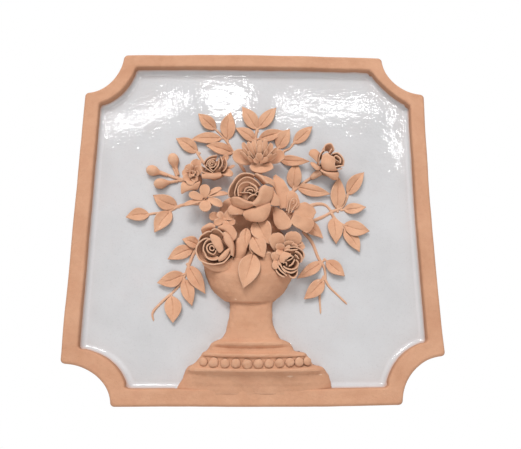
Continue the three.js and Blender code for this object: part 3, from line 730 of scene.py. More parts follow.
def build_glaze(material):
    """Skin of glaze over the sunk ground, drawn up a little where it meets the rim and the urn."""
    line = np.arange(-GLAZE_REACH, GLAZE_REACH + GLAZE_STEP / 2, GLAZE_STEP)
    across, up = np.meshgrid(line, line, indexing="xy")
    inset = rim_inset(across, up)
    place = np.stack([across, up], -1)
    depth = GLAZE_DEPTH + 0.07 * ripple(place, 60, 31, 16) + 0.016 * ripple(place, 13, 32, 16)
    climb = np.clip((RIM_WIDTH + COVE - inset) / COVE, 0, 1.5)
    uneven = 1 + 0.1 * ripple(place, 19, 33) + 0.05 * ripple(place, 6, 34)
    urn_across, urn_up = across / RELIEF_SCALE, (up + RELIEF_DROP) / RELIEF_SCALE
    left, right, _, _ = urn_edges(urn_up)
    beside = np.where(urn_across < 0, left - urn_across, urn_across - right)
    gap = np.where(urn_up < -4, beside, 99.0)
    ragged = 0.75 + 0.5 * ripple(place, 5, 35)
    inside, outside = np.minimum(gap, 0) / 1.5, np.maximum(gap, 0) / 1.2
    beside_urn = np.clip(ragged, 0, 2) * np.exp(-inside ** 2 - outside ** 2)
    height = GROUND + depth + RIM_CLIMB * climb ** 2 * uneven + URN_CLIMB * beside_urn
    points = np.stack([across, up, height], -1)
    thin = np.clip((inset - RIM_WIDTH - 0.5) / 1.4, 0, 1)
    pool = np.exp(-((inset - RIM_WIDTH - 3.4) / 1.5) ** 2) + 0.9 * beside_urn
    cover = np.clip(0.5 * thin + 0.5 * np.clip(pool, 0, 1), 0, 1)
    keep = (inset > RIM_WIDTH - 1.6) & (gap > -3.6)
    rows, columns = keep.shape
    quads = grid_faces(rows, columns)
    quads = quads[keep.reshape(-1)[quads].all(1)]
    used = np.unique(quads)
    renumber = np.full(rows * columns, -1)
    renumber[used] = np.arange(len(used))
    clay = Clay()
    clay.add(points.reshape(-1, 3)[used], renumber[quads])
    made = clay.piece("ground_glaze", material, relief=False)
    layer = made.data.attributes.new("glaze_depth", "FLOAT", "POINT")
    layer.data.foreach_set("value", cover.reshape(-1)[used].astype(np.float32))
    return made


def sighted(points, plane):
    """Moves places judged on a plane, along the line of sight, to their own distance from the wall."""
    places = np.array(points, float)
    share = (CAMERA_OUT - places[:, 2]) / (CAMERA_OUT - plane)
    places[:, 0] = CAMERA_ACROSS + (places[:, 0] - CAMERA_ACROSS) * share
    places[:, 1] = CAMERA_UP + (places[:, 1] - CAMERA_UP) * share
    return places


def spline(points, count):
    """Smooth curve through the points, cut into evenly spaced places."""
    knots = np.asarray(points, float)
    if len(knots) == 2:
        return knots[0] + (knots[1] - knots[0]) * np.linspace(0, 1, count)[:, None]
    fine = curve(knots, 12)
    run = np.concatenate([[0], np.cumsum(np.linalg.norm(np.diff(fine, axis=0), axis=1))])
    even = np.linspace(0, run[-1], count)
    return np.stack([np.interp(even, run, fine[:, k]) for k in range(3)], 1)


def eased(count, ends=0.5):
    """Steps from 0 to 1 that crowd together toward both ends."""
    plain = np.linspace(0, 1, count)
    return (1 - ends) * plain + ends * (1 - np.cos(math.pi * plain)) / 2


def sheet(clay, lines, thickness=PETAL_THICKNESS, seed=0, rows=20, columns=30, uneven=0.3):
    """Petal stretched over several lines that run across it, from its root to its lip."""
    drawn = np.stack([spline(line, columns) for line in lines])
    crowd = eased(columns, 0.6) * (columns - 1)
    low = np.minimum(crowd.astype(int), columns - 2)
    part = (crowd - low)[None, :, None]
    drawn = drawn[:, low] * (1 - part) + drawn[:, low + 1] * part
    stride = np.linalg.norm(np.diff(drawn, axis=0), axis=2).mean(1)
    place = np.concatenate([[0], np.cumsum(stride)])
    wanted = eased(rows, 0.4) * place[-1]
    ends = padded(drawn)
    span = np.clip(np.searchsorted(place, wanted, side="right") - 1, 0, len(place) - 2)
    x = ((wanted - place[span]) / (place[span + 1] - place[span]))[:, None, None]
    middle = between(ends[span], ends[span + 1], ends[span + 2], ends[span + 3], x)
    middle[..., 2] += uneven * ripple(middle, 10, seed)
    middle[..., 0] += 0.6 * uneven * ripple(middle, 8, seed + 1)
    middle[..., 1] += 0.6 * uneven * ripple(middle, 8, seed + 2)
    i = np.arange(rows)[:, None]
    j = np.arange(columns)[None]
    step = np.minimum(np.minimum(i, rows - 1 - i), np.minimum(j, columns - 1 - j))
    rounding = np.sqrt(np.clip(1 - (1 - np.minimum(1, step / 3.0)) ** 2, 0, 1))
    closed_sheet(clay, middle, thickness * (1 - 0.25 * i / rows) * rounding)


def wall(clay, lip, centre, axis=(0, 0, 1), depth=9.0, shrink=0.72, roll=0.8, bulge=0.8, seed=0,
         thickness=PETAL_THICKNESS, turn=150, columns=None, uneven=0.3):
    """Petal that stands round the middle of a flower, with its lip rolled outward."""
    axis = unit(np.array(axis, float))
    centre = np.array(centre, float)
    count = columns or max(18, min(60, 4 * len(lip) + 10))
    edge = spline(lip, count)
    spread = edge - centre
    spread = spread - (spread @ axis)[:, None] * axis
    outward = unit(spread)
    level = (edge - centre) @ axis
    foot = centre + spread * shrink + axis * (level - depth)[:, None]
    belly = centre + spread * (0.45 * shrink + 0.55) + axis * (level - 0.5 * depth)[:,
                                                                                    None] + outward * bulge
    lines = [foot, belly, edge - axis * roll * 0.9]
    for angle in np.linspace(0, turn, 5)[1:]:
        bend = math.radians(angle)
        lines.append(edge + outward * roll * (1 - math.cos(bend)) + axis * roll * (math.sin(bend) - 0.9))
    sheet(clay, lines, thickness, seed, rows=24, columns=count, uneven=uneven)


def arc(centre, radius, start, end, out, squash=1.0, dip=0.0, grow=0.0, points=7):
    """Places on an arc about the centre of a flower, in degrees from across, its ends dipping if asked."""
    turns = np.radians(np.linspace(start, end, points))
    share = np.linspace(-1, 1, points)
    reach = radius * (1 + grow * share)
    return [(centre[0] + reach[k] * math.cos(a), centre[1] + squash * reach[k] * math.sin(a),
             out - dip * share[k] ** 4) for k, a in enumerate(turns)]


def petal(clay, place, width_at=petal_outline, **shape):
    """Open petal from its base to its tip, each given across, up and out from the wall."""
    u0, v0, w0, u1, v1, w1, width = place
    given = dict(rows=26, columns=20, thickness=PETAL_THICKNESS)
    given.update(shape)
    blade(clay, (u0, v0, w0 - GROUND, u1, v1, w1 - GROUND, width), width_at, **given)


def on_plane(place, plane):
    """The same for an open petal, whose base and tip were judged on one plane."""
    ends = sighted([place[0:3], place[3:6]], plane)
    return (*ends[0], *ends[1], place[6])


class Rose:
    """A flower whose places were judged on one plane, with petals that stand round its heart or spread."""

    def __init__(self, clay, plane, heart, standing, spreading):
        self.clay = clay
        self.plane = plane
        self.heart = sighted([heart], plane)[0]
        self.standing = standing
        self.spreading = spreading

    def stand(self, lip, **shape):
        """Petal that stands round the heart, under its lip."""
        wall(self.clay, sighted(lip, self.plane), self.heart, **{**self.standing, **shape})

    def spread(self, lines, seed, **shape):
        """Petal stretched over lines that run across it, from its root to its lip."""
        drawn = [sighted(line, self.plane) for line in lines]
        sheet(self.clay, drawn, seed=seed, **{**self.spreading, **shape})


def centre_rose(clay):
    """Large rose in the middle: a folded heart, turns of thin petals and open petals round them."""
    rose = Rose(clay, plane=42, heart=(-4, 14.5, 38), standing=dict(thickness=1.0, roll=0.4),
                spreading=dict(thickness=1.1))
    lump(clay, -4.5, 13.5, radius=13.5, height=20.6, seed=61)
    rose.stand([(-20.3, 10.8, 33.6), (-21.4, 13.8, 34.8), (-20.7, 17.6, 35.3), (-18.4, 22, 35.5),
                (-15.7, 26.1, 35.5), (-12.5, 29.4, 35.4), (-8.2, 30.5, 35.2), (-3.9, 30, 34.8),
                (-1, 28.4, 34)], depth=6.6, roll=0.55, bulge=1.3, shrink=0.66, seed=6, columns=52)
    rose.stand([(-15.8, 11.4, 35), (-16.5, 14.6, 36), (-15.9, 17.6, 36.3), (-14, 22, 36.5),
                (-11.4, 25.4, 36.5), (-7.6, 27.1, 36.5), (-3.8, 26.5, 36.4), (0.5, 23.7, 36.2),
                (3.6, 20, 35.4)], depth=3.6, bulge=0.7, seed=5, columns=52)
    rose.stand([(-13.1, 11.4, 36), (-13.6, 15, 36.8), (-13.3, 18.6, 37.1), (-10.8, 22, 37.3),
                (-7, 22.9, 37.3), (-3.6, 22.2, 37)], depth=3, bulge=0.5, seed=4)
    rose.stand([(-4.3, 22, 37.2), (-2.2, 20.9, 38.1), (-0.2, 19.4, 38.3), (1.1, 17.3, 38.2),
                (0.4, 15, 37.4)], depth=3.6, roll=0.55, bulge=0.4, shrink=0.7, seed=3, thickness=1.2)
    rose.stand([(-8.8, 14.8, 37.2), (-7.6, 17.4, 38), (-5.4, 18.7, 38.3), (-2.7, 18.6, 38.3), (-1, 17.2, 38),
                (-0.6, 15.4, 37.4)], depth=4.2, bulge=0.3, shrink=0.62, seed=2)
    rose.stand([(-6.8, 15.4, 37), (-4.8, 16.8, 37.6), (-2.7, 16.2, 37.6), (-2.2, 14.8, 37.2)], depth=3.6,
               roll=0.3, bulge=0.1, shrink=0.5, seed=1)
    # Front of the heart: two short petals that meet at an angle, and a small curl beside them.
    rose.stand([(-12.6, 14.4, 36), (-10.4, 14.6, 37.4), (-7.6, 14.6, 38), (-5, 14.6, 38.2), (-3.2, 13.8, 38),
                (-1.6, 12.8, 37.4)], depth=5.4, roll=0.35, bulge=0.5, shrink=1.05, seed=7)
    rose.stand([(-6.9, 7.4, 36), (-5.4, 10.3, 37.4), (-3.2, 12.4, 38.2), (-0.8, 13, 38.2), (1.4, 12, 37.4)],
               depth=4.8, roll=0.35, bulge=0.4, shrink=1.0, seed=8)
    rose.stand([(-0.6, 13, 37.6), (0.8, 14.8, 38.3), (2.8, 14.8, 38.3), (2.4, 13, 37.8)], depth=3.6,
               roll=0.3, bulge=0.1, shrink=0.9, seed=9)
    # Front of the cup: the outside of a petal from its dotted lip down to the open petals.
    rose.spread([
        [(-19.6, 8.4, 26), (-14.6, 4, 26), (-7, 1.4, 26), (-1.4, 2.4, 27)],
        [(-20.6, 8.8, 30.4), (-16.4, 3.6, 30.4), (-7.4, 0.6, 30.6), (-1, 2.4, 31)],
        [(-20.4, 9.8, 34), (-15.4, 5.6, 34.6), (-7.2, 2.8, 34.8), (-1.2, 3.6, 35)],
        [(-19.2, 10.4, 35.4), (-13.4, 8.8, 36.9), (-7, 5.8, 37.4), (-1.4, 5, 37.2)],
        [(-18, 10.6, 35.2), (-12.8, 9.8, 37), (-6.6, 6.9, 37.6), (-1.4, 5.9, 37.4)],
        [(-17.4, 10.8, 34), (-12.4, 10.4, 35.6), (-6, 7.6, 36.2), (-1, 6.6, 36.2)],
    ], 10, rows=34, columns=40, uneven=0.2)
    # Large petal on the right, its lip rolled over toward the heart.
    rose.spread([
        [(8.4, 21, 34), (5.4, 19.4, 34), (2.8, 15.4, 34), (1.6, 10.4, 34), (-2, 6, 34)],
        [(8.2, 20.8, 36.6), (5, 19, 37.2), (3.2, 16, 37.6), (2.4, 12, 37.6), (0, 8, 37), (-2.8, 5.6, 36.4)],
        [(8.6, 20.6, 37.2), (5.9, 19, 38.4), (4.3, 16.2, 38.9), (3.6, 12.6, 38.9), (1.2, 8.2, 38.4),
                 (-2.2, 4.8, 37.4)],
        [(10, 20, 37), (7.4, 18.2, 38.4), (5.9, 15.4, 38.8), (5, 11.8, 38.6), (2.6, 7, 38),
         (-1.4, 3.8, 36.8)],
        [(12, 19.6, 35.4), (10, 16.2, 37), (8.6, 12.6, 37), (5.6, 7.8, 36.6), (0.4, 3, 35.2)],
        [(14.4, 19, 32.4), (14, 14.6, 33.6), (12.6, 10.4, 33.8), (8.8, 6, 33.6), (2, 2.2, 32.6)],
        [(14, 18, 27), (14.4, 14, 28), (12.6, 9, 28), (9, 5, 28), (3, 2, 28)],
    ], 11, thickness=1.2, rows=40, columns=40, uneven=0.2)
    # Upright petal behind it with a broad bevelled lip, and its outside sloping to the right.
    rose.spread([
        [(-1, 28, 31), (2.6, 25, 31), (6.4, 21.4, 31)],
        [(-0.6, 30, 34.4), (3.2, 27, 34.6), (8, 22, 34.6)],
        [(0.2, 31, 35.8), (4.6, 27.4, 36.4), (9.2, 22.2, 36.2)],
        [(1.4, 30.8, 35.8), (6, 27.2, 36.4), (10.4, 22, 36)],
        [(6, 28.6, 32.6), (10.8, 26.4, 33.4), (13.6, 20.6, 33)],
        [(9, 28, 29), (14.6, 24.4, 29.8), (15, 18.6, 30)],
        [(9, 26, 24), (14, 23, 24), (14, 18, 24)],
    ], 12, rows=34, columns=30, uneven=0.2)
    # Fin of a petal low on the right.
    rose.spread([
        [(12, 17, 26), (12, 10, 28), (10.4, 5, 28)],
        [(14.4, 17.6, 31), (14, 11, 32), (11.6, 4.4, 31.6)],
        [(16.6, 13.6, 31.4), (16.8, 9.4, 32), (14.6, 3.6, 31.6)],
        [(17.6, 11.8, 31), (19, 8, 31.2), (18.6, 3.8, 30.6)],
        [(17.4, 11, 29.6), (19.4, 7.6, 29.8), (19.4, 4.2, 29.4)],
    ], 13, rows=24, columns=26, uneven=0.2)
    # Bottom petal, folded forward and almost level, and the one to its left.
    rose.spread([
        [(-7, 1, 27), (0, 3.4, 28), (6, 6, 28), (11, 8, 28)],
        [(-9, -1.6, 32), (-2, 1.6, 33.4), (5, 4.4, 33.6), (11.4, 6.8, 32)],
        [(-10, -3.4, 33.4), (-3.6, -2.2, 35), (5, 0.6, 35.4), (12.6, 2.6, 33)],
        [(-9.2, -5.8, 33.4), (-3.6, -6.4, 34.6), (5.4, -5, 34.8), (11.6, -2.4, 33)],
        [(-7.4, -7.7, 32.2), (-2.8, -8.7, 33), (5.4, -8.7, 33.2), (10.6, -4.8, 32)],
        [(-6.8, -7.4, 30.8), (-2.6, -8.9, 31), (5.2, -9, 31.2), (10, -5.4, 30.8)],
    ], 14, thickness=1.2, rows=32, columns=40, uneven=0.35)
    rose.spread([
        [(-16, 6, 26), (-12, 3.6, 27), (-7, 1.6, 28)],
        [(-19.6, 4.4, 30), (-14, 1.4, 31.4), (-8, -1.2, 31.4)],
        [(-22, 0.6, 30), (-16, -1.6, 31.4), (-10, -3.2, 31)],
        [(-20.4, -4.2, 29.8), (-16, -4, 31), (-11, -3.4, 30.4)],
    ], 15, uneven=0.35)


def left_rose(clay):
    """Open rose at the lower left, round a small tube-like heart."""
    rose = Rose(clay, plane=36, heart=(-34.1, -30, 33), standing=dict(thickness=1.0, roll=0.4),
                spreading=dict(thickness=1.15, uneven=0.25, rows=28, columns=36))
    lump(clay, -32.5, -30.5, radius=12, height=18, seed=62)
    rose.stand(arc((-34.1, -30), 1.8, 0, 350, 34.2), depth=3.9, roll=0.3, bulge=0.1, shrink=0.8, seed=21)
    rose.stand([(-31.6, -34.4, 33), (-34.1, -34.2, 34), (-36.9, -32.4, 34.6), (-38.1, -29.4, 34.8),
                (-36.9, -27, 34.8), (-34.6, -26.2, 34.6), (-32.7, -27, 34.2)], depth=3.9, bulge=0.3,
               shrink=0.8, seed=22)
    rose.stand([(-33, -34.8, 33.4), (-31.6, -33.6, 34.2), (-30.8, -31.4, 34.2)], depth=3.25, roll=0.3,
               bulge=0.2, seed=35)
    rose.stand([(-38.3, -35.6, 33.4), (-40.4, -32.6, 34.6), (-41, -29.4, 35), (-40, -26, 35.2),
                (-37.7, -23.6, 35.2), (-35.6, -23, 34.8)], depth=4.55, bulge=0.6, seed=23)
    rose.stand([(-39.8, -34, 33.6), (-37.5, -37.4, 34.8), (-34.1, -38.8, 35.2), (-30.8, -38.6, 35.2),
                (-28.3, -37, 34.6)], depth=4.55, bulge=0.6, seed=24)
    rose.stand([(-36, -22.4, 34.4), (-39.2, -22.2, 34.8), (-42.5, -23.8, 35), (-45.2, -27, 35),
                (-46.3, -31, 34.8), (-45.4, -35.6, 34.6), (-42.7, -39.4, 34.6), (-38.5, -41.6, 34.6),
                (-33.7, -42.3, 34.6), (-29.3, -42.2, 34.6), (-25.4, -41.2, 34.4), (-22.2, -38.6, 34),
                (-19.9, -34.6, 33.4), (-19.3, -31, 32.6)], depth=7.15, bulge=1.5, shrink=0.68, seed=28,
               columns=60, roll=0.5)
    rose.stand([(-44.6, -24, 32.8), (-43.1, -20.2, 33.8), (-40.2, -17.8, 34.2), (-36.7, -16.4, 34.4),
                (-34.8, -16.6, 34)], depth=6.5, bulge=1.0, seed=29)
    rose.stand([(-35.2, -16, 33.6), (-33.7, -14.8, 34.4), (-31.2, -14.6, 34.8), (-28.5, -15.6, 35),
                (-26.4, -17.8, 35), (-25.2, -20, 34.6)], depth=6.5, bulge=0.8, seed=36)
    # Petal folded flat over the heart.
    rose.spread([
        [(-34.6, -20, 32.4), (-32.5, -26, 32.4), (-28.3, -32, 32)],
        [(-36, -19.6, 34.8), (-34.1, -24.4, 35.2), (-31.2, -29.4, 35.2), (-28.1, -33.4, 34.4)],
        [(-35.4, -18.4, 35.4), (-32.5, -22.6, 36), (-29.6, -28, 36), (-27, -33.2, 35)],
        [(-33.7, -18.6, 35.2), (-30.2, -21.6, 35.8), (-27.7, -26.4, 35.8), (-25.8, -31.8, 34.8)],
        [(-31.6, -19.4, 34.4), (-28.3, -22, 34.6), (-26.4, -26.4, 34.6), (-25.2, -31, 34)],
        [(-31.2, -19.8, 32), (-27.9, -22.4, 32), (-26, -26.6, 32), (-25, -31, 32)],
    ], 26, uneven=0.15)
    # Turned-out lip, seen edge on as a narrow lens.
    rose.spread([
        [(-20.2, -29.6, 33), (-23.9, -32.4, 33.2), (-26.8, -35.4, 33.2), (-29.3, -38.6, 32.6)],
        [(-20, -29.8, 34.8), (-23.3, -32.6, 35.6), (-26.4, -35.8, 35.6), (-29.1, -38.8, 34.6)],
        [(-20.2, -31, 35), (-22.5, -34.6, 35.8), (-25.8, -37.6, 35.8), (-28.9, -39.6, 34.8)],
        [(-20.4, -32, 34.2), (-22.2, -35.8, 34.6), (-25.4, -39, 34.6), (-28.7, -40.4, 34)],
        [(-20.6, -32.4, 32), (-22.3, -36, 32), (-25.4, -39.2, 32), (-28.7, -40.6, 32)],
    ], 27, uneven=0.1)
    # Broad petal on the right and the outside of the cup below.
    rose.spread([
        [(-24.8, -20, 30), (-23.5, -25, 30), (-20.6, -29.6, 30), (-19.3, -35, 30)],
        [(-25.2, -18.4, 34), (-23.9, -24.4, 34.6), (-20.6, -29, 34.4), (-18.7, -35.4, 33.4)],
        [(-25.4, -16.8, 34.8), (-22.9, -22, 35.6), (-19.5, -28, 35.4), (-18.1, -36, 34)],
        [(-24.5, -16.4, 34.6), (-21, -21, 35.2), (-17.9, -27.4, 35), (-17.5, -36.4, 33.4)],
        [(-23.1, -17, 33), (-19.3, -21.6, 33.4), (-17, -27.6, 33), (-17, -36.6, 32)],
        [(-22.5, -17.6, 28), (-18.7, -22.4, 28), (-16.6, -28, 28), (-16.6, -37, 28)],
    ], 30, uneven=0.15)
    rose.spread([
        [(-41.7, -38, 29), (-34.1, -41, 31), (-24.5, -41, 31), (-17.7, -36, 29)],
        [(-41.7, -41, 29.2), (-33.7, -44.6, 31.2), (-23.9, -45, 31.4), (-16.8, -40.6, 29.8)],
        [(-40.6, -43.2, 28.6), (-33.3, -47.2, 29.8), (-23.5, -48.2, 30.2), (-16.4, -44.6, 29)],
        [(-39.4, -43, 26), (-32.7, -46.8, 27), (-23.5, -47.6, 27.4), (-16.8, -44.2, 26.6)],
    ], 33)
    # Petals behind: right, low right, upper right and upper left.
    rose.spread([
        [(-16.4, -25, 24), (-17.2, -30, 25), (-16.4, -36, 24)],
        [(-15.4, -23, 28), (-14.5, -30, 29.2), (-15.4, -37.6, 28)],
        [(-12.6, -21.3, 28.8), (-10.4, -30, 30.4), (-12, -38.7, 28.8)],
        [(-8.7, -24.4, 28.4), (-7.4, -30, 29.2), (-8.5, -36.4, 28.4)],
        [(-8.1, -26, 27), (-6.9, -30, 27.4), (-7.9, -35, 27)],
    ], 32)
    rose.spread([
        [(-16.8, -38.6, 24), (-16.8, -41, 24), (-17, -44.6, 24)],
        [(-12.9, -38.8, 26.4), (-12.6, -41.6, 27), (-13.1, -44.8, 26.4)],
        [(-9.9, -41, 25.8), (-9.5, -43, 26), (-10.4, -44.4, 25.6)],
    ], 37, rows=18, columns=20)
    rose.spread([
        [(-28.3, -17, 26), (-22.5, -20, 26), (-17.7, -25, 26)],
        [(-30.2, -13.2, 30.6), (-23.1, -16, 31.6), (-17.4, -24, 30.6)],
        [(-28.3, -11.6, 31), (-20.6, -13.4, 31.8), (-14.9, -21.4, 30.6)],
        [(-25.4, -10.4, 30.2), (-19.1, -11.4, 30.8), (-14.3, -18, 30)],
        [(-24.5, -10.6, 28), (-18.7, -12, 28), (-14.5, -18, 28)],
    ], 31)
    rose.spread([
        [(-41.7, -20, 23), (-36.9, -17, 25), (-32.1, -15, 25)],
        [(-43.3, -14.4, 27.4), (-37.9, -12.6, 29), (-31.8, -13, 28.6)],
        [(-40.6, -11.4, 27.2), (-36, -9.8, 28.2), (-32.1, -11.4, 27.6)],
        [(-39.8, -11.6, 25.4), (-36, -10.4, 26), (-32.5, -11.8, 25.6)],
    ], 34, rows=22, columns=28)


def peony(clay):
    """Ragged flower at the lower right: broad petals outside, short folded ones round its heart."""
    plane = 5
    rose = Rose(clay, plane, heart=(29.5, -35.5, 31),
                standing=dict(thickness=0.95, bulge=0.4, axis=(0.05, -0.1, 1)),
                spreading=dict(thickness=1.1, uneven=0.2))
    lump(clay, 26.4, -38, radius=10.5, height=16.8, seed=63)
    broad = (
        ((20.5, -26.5, 26.5, 18, -10.2, 31, 13.2), 41), ((32, -24, 26, 33.6, -8.8, 30.6, 14.4), 42),
        ((18.4, -36, 26, 6.8, -37.2, 29.8, 18), 43), ((21.5, -26, 29.5, 21.8, -19.4, 32.8, 7.8), 44),
        ((22, -24.8, 29, 21, -30, 33, 6.8), 45), ((29.4, -23, 29, 29.6, -17, 32.6, 9), 46),
        ((33, -24, 30, 35.4, -19.8, 32.8, 5.6), 47), ((36.5, -24.4, 28.5, 43, -21.2, 30.4, 5.2), 48),
        ((36, -22, 27, 41.6, -18.8, 29.2, 4), 49), ((18, -35, 30, 16.8, -27, 32.8, 6.6), 38),
        ((18, -34, 30, 17.4, -42, 32, 5.4), 39), ((21, -33.6, 31, 21.4, -38.4, 33.4, 2.6), 40),
        ((25.4, -25.4, 31.5, 30.6, -21.6, 33.2, 3), 37),
    )
    for place, seed in broad:
        petal(clay, on_plane(place, plane), arch=0.06, cup=0.1, lip=0.45, seed=seed, thickness=1.15)
    rose.spread([
        [(20.8, -36, 28), (21.4, -30.6, 29), (25, -26.8, 29), (31, -28, 29)],
        [(21.4, -35.8, 32.6), (21.8, -31, 33.2), (25.2, -27.4, 33.4), (31, -28.8, 33.4)],
        [(22.6, -36.2, 33.8), (23.2, -32.4, 34.4), (26, -29.4, 34.6), (31.2, -29.4, 34.2)],
        [(24.8, -36.6, 34), (25.6, -34, 34.8), (28, -31.6, 35), (31.8, -30.2, 34.6)],
        [(25.4, -37, 31), (26.4, -34.4, 31), (28.6, -32.2, 31), (31.6, -31, 31)],
    ], 36, rows=30, columns=34)
    folds = (
        (0.55, 4.2, [(25.4, -26.2, 33), (29.6, -25.8, 34.2), (33.5, -25.6, 34.4), (36.6, -25.8, 33.8)]),
        (0.5, 5.6, [(30.4, -23.6, 32.8), (35, -23.2, 33), (38.8, -24.6, 32.6), (41.4, -27, 32),
                    (42, -30.4, 31.4), (41, -33.4, 31)]),
        (0.55, 4.9, [(34.2, -27.2, 33.4), (37, -27.8, 34), (39.6, -30, 33.8), (40.2, -33, 33.2),
                     (39, -36.2, 32.4)]),
        (0.45, 4.2, [(34, -29.4, 33.8), (36, -30.8, 34.2), (37.6, -33.6, 33.6)]),
        (0.4, 4.2, [(27.2, -33.6, 34.2), (28.8, -31.8, 35.2), (31, -30.6, 35.4), (32.8, -30.8, 35)]),
        (0.4, 4.2, [(27.4, -34.8, 34.2), (30, -34.4, 35), (32, -33, 35.2), (33.4, -31.4, 34.6)]),
        (0.4, 4.2, [(25, -36.8, 34), (26.4, -35.7, 34.8), (27.6, -36.4, 35), (27.8, -38.6, 34.4)]),
        (0.4, 4.2, [(29.4, -39, 34.4), (31.6, -37.6, 35), (33, -35.4, 35.2), (33.8, -33.2, 34.6)]),
        (0.5, 4.9, [(34.8, -33.6, 34), (36.6, -36, 34.2), (36.2, -39, 34), (33.8, -41.4, 33.8),
                    (30.6, -41.8, 33.8), (27, -40.8, 33.8), (24.6, -39, 33.6)]),
        (0.5, 4.9, [(36.6, -39.8, 33), (34.8, -43, 33.2), (31, -44.5, 33.4), (27.2, -43.4, 33.4),
                    (24.2, -41, 33)]),
        (0.6, 5.6, [(36, -42.4, 31.4), (35.6, -46, 31.8), (33.6, -48.6, 31.6), (30.8, -48.2, 31.6),
                    (29, -45.4, 31.6)]),
        (0.45, 4.9, [(21.6, -36.2, 33), (22.6, -39, 33.8), (24.6, -42.2, 33.6), (27, -44.4, 33)]),
        (0.5, 5.6, [(20, -38.6, 32.4), (21.2, -41.2, 33.2), (24, -44.4, 33.4), (27.6, -46.9, 32.6)]),
        (0.55, 5.6, [(18.2, -41.6, 31.4), (20.2, -44.8, 32.4), (22.8, -47.2, 32.4), (25.8, -48, 31.6)]),
    )
    for k, (roll, depth, lip) in enumerate(folds):
        rose.stand(lip, roll=roll, depth=depth, seed=50 + k)


def top_flower(clay):
    """Flower at the top with a fan of narrow upright petals over a saucer of broad ones."""
    plane = 32
    lump(clay, 3, 46.5, radius=6.4, height=9.5, seed=64)
    broad = (
        ((0, 46, 21.5, -19.4, 50.6, 27.4, 14.4), 71), ((8, 46.6, 22, 24.4, 51.6, 27, 12.6), 72),
        ((4.6, 46, 24, 5.4, 35.2, 30.6, 20.5), 73),
    )
    for place, seed in broad:
        petal(clay, on_plane(place, plane), arch=-0.03, cup=0.07, lip=0.6, wave=0.5, seed=seed,
              thickness=1.2)
    upright = (
        ((3.3, 46, 24, 3.6, 64.4, 29.4, 5.6), 0, 74), ((3.2, 46, 27, 3.6, 59.6, 32.4, 4.4), 6, 75),
        ((3.1, 45, 30, 3.1, 52.6, 33.6, 6.0), 0, 76), ((0.8, 45, 24, -1.6, 64, 29, 5.2), -22, 77),
        ((0.2, 45, 24.6, -6.4, 62.6, 29.4, 5.0), -34, 78), ((-1.6, 45, 22.4, -10.8, 62, 26.6, 5.2), -30, 79),
        ((-1.0, 45.4, 25.6, -10.4, 56.8, 30.6, 3.8), -46, 80),
        ((-2.4, 44, 25, -12.8, 53.8, 30, 3.8), -52, 81),
        ((0.2, 45, 27.6, -6.2, 54.2, 32.6, 3.6), -44, 82),
        ((-0.4, 44.4, 28.6, -6.6, 49.4, 32.6, 3.4), -42, 83),
        ((5.4, 45.4, 24.4, 8.6, 65.2, 29, 5.2), 22, 84), ((6.8, 46, 22.4, 13.6, 61.6, 26.2, 5.6), 26, 85),
        ((6.4, 46, 26.4, 17.8, 57.2, 30.4, 4.0), 42, 86), ((7, 45, 27.4, 13.8, 51.6, 32.4, 3.8), 38, 87),
        ((6.4, 44.2, 26, 18.2, 52.4, 29.8, 3.8), 48, 88), ((5.4, 45, 27.6, 9.2, 55.8, 32.4, 3.8), 36, 89),
        ((3.6, 44.2, 29.4, 10.4, 47.8, 33, 4.4), 14, 90), ((2.4, 44, 29.6, -1.6, 47.4, 33, 4.0), -16, 70),
    )
    for place, roll, seed in upright:
        petal(clay, on_plane(place, plane), slat_outline, roll=roll, arch=0.09,
              cup=0.22 if seed % 3 else -0.2, seed=seed, thickness=0.95, rows=24, columns=16)


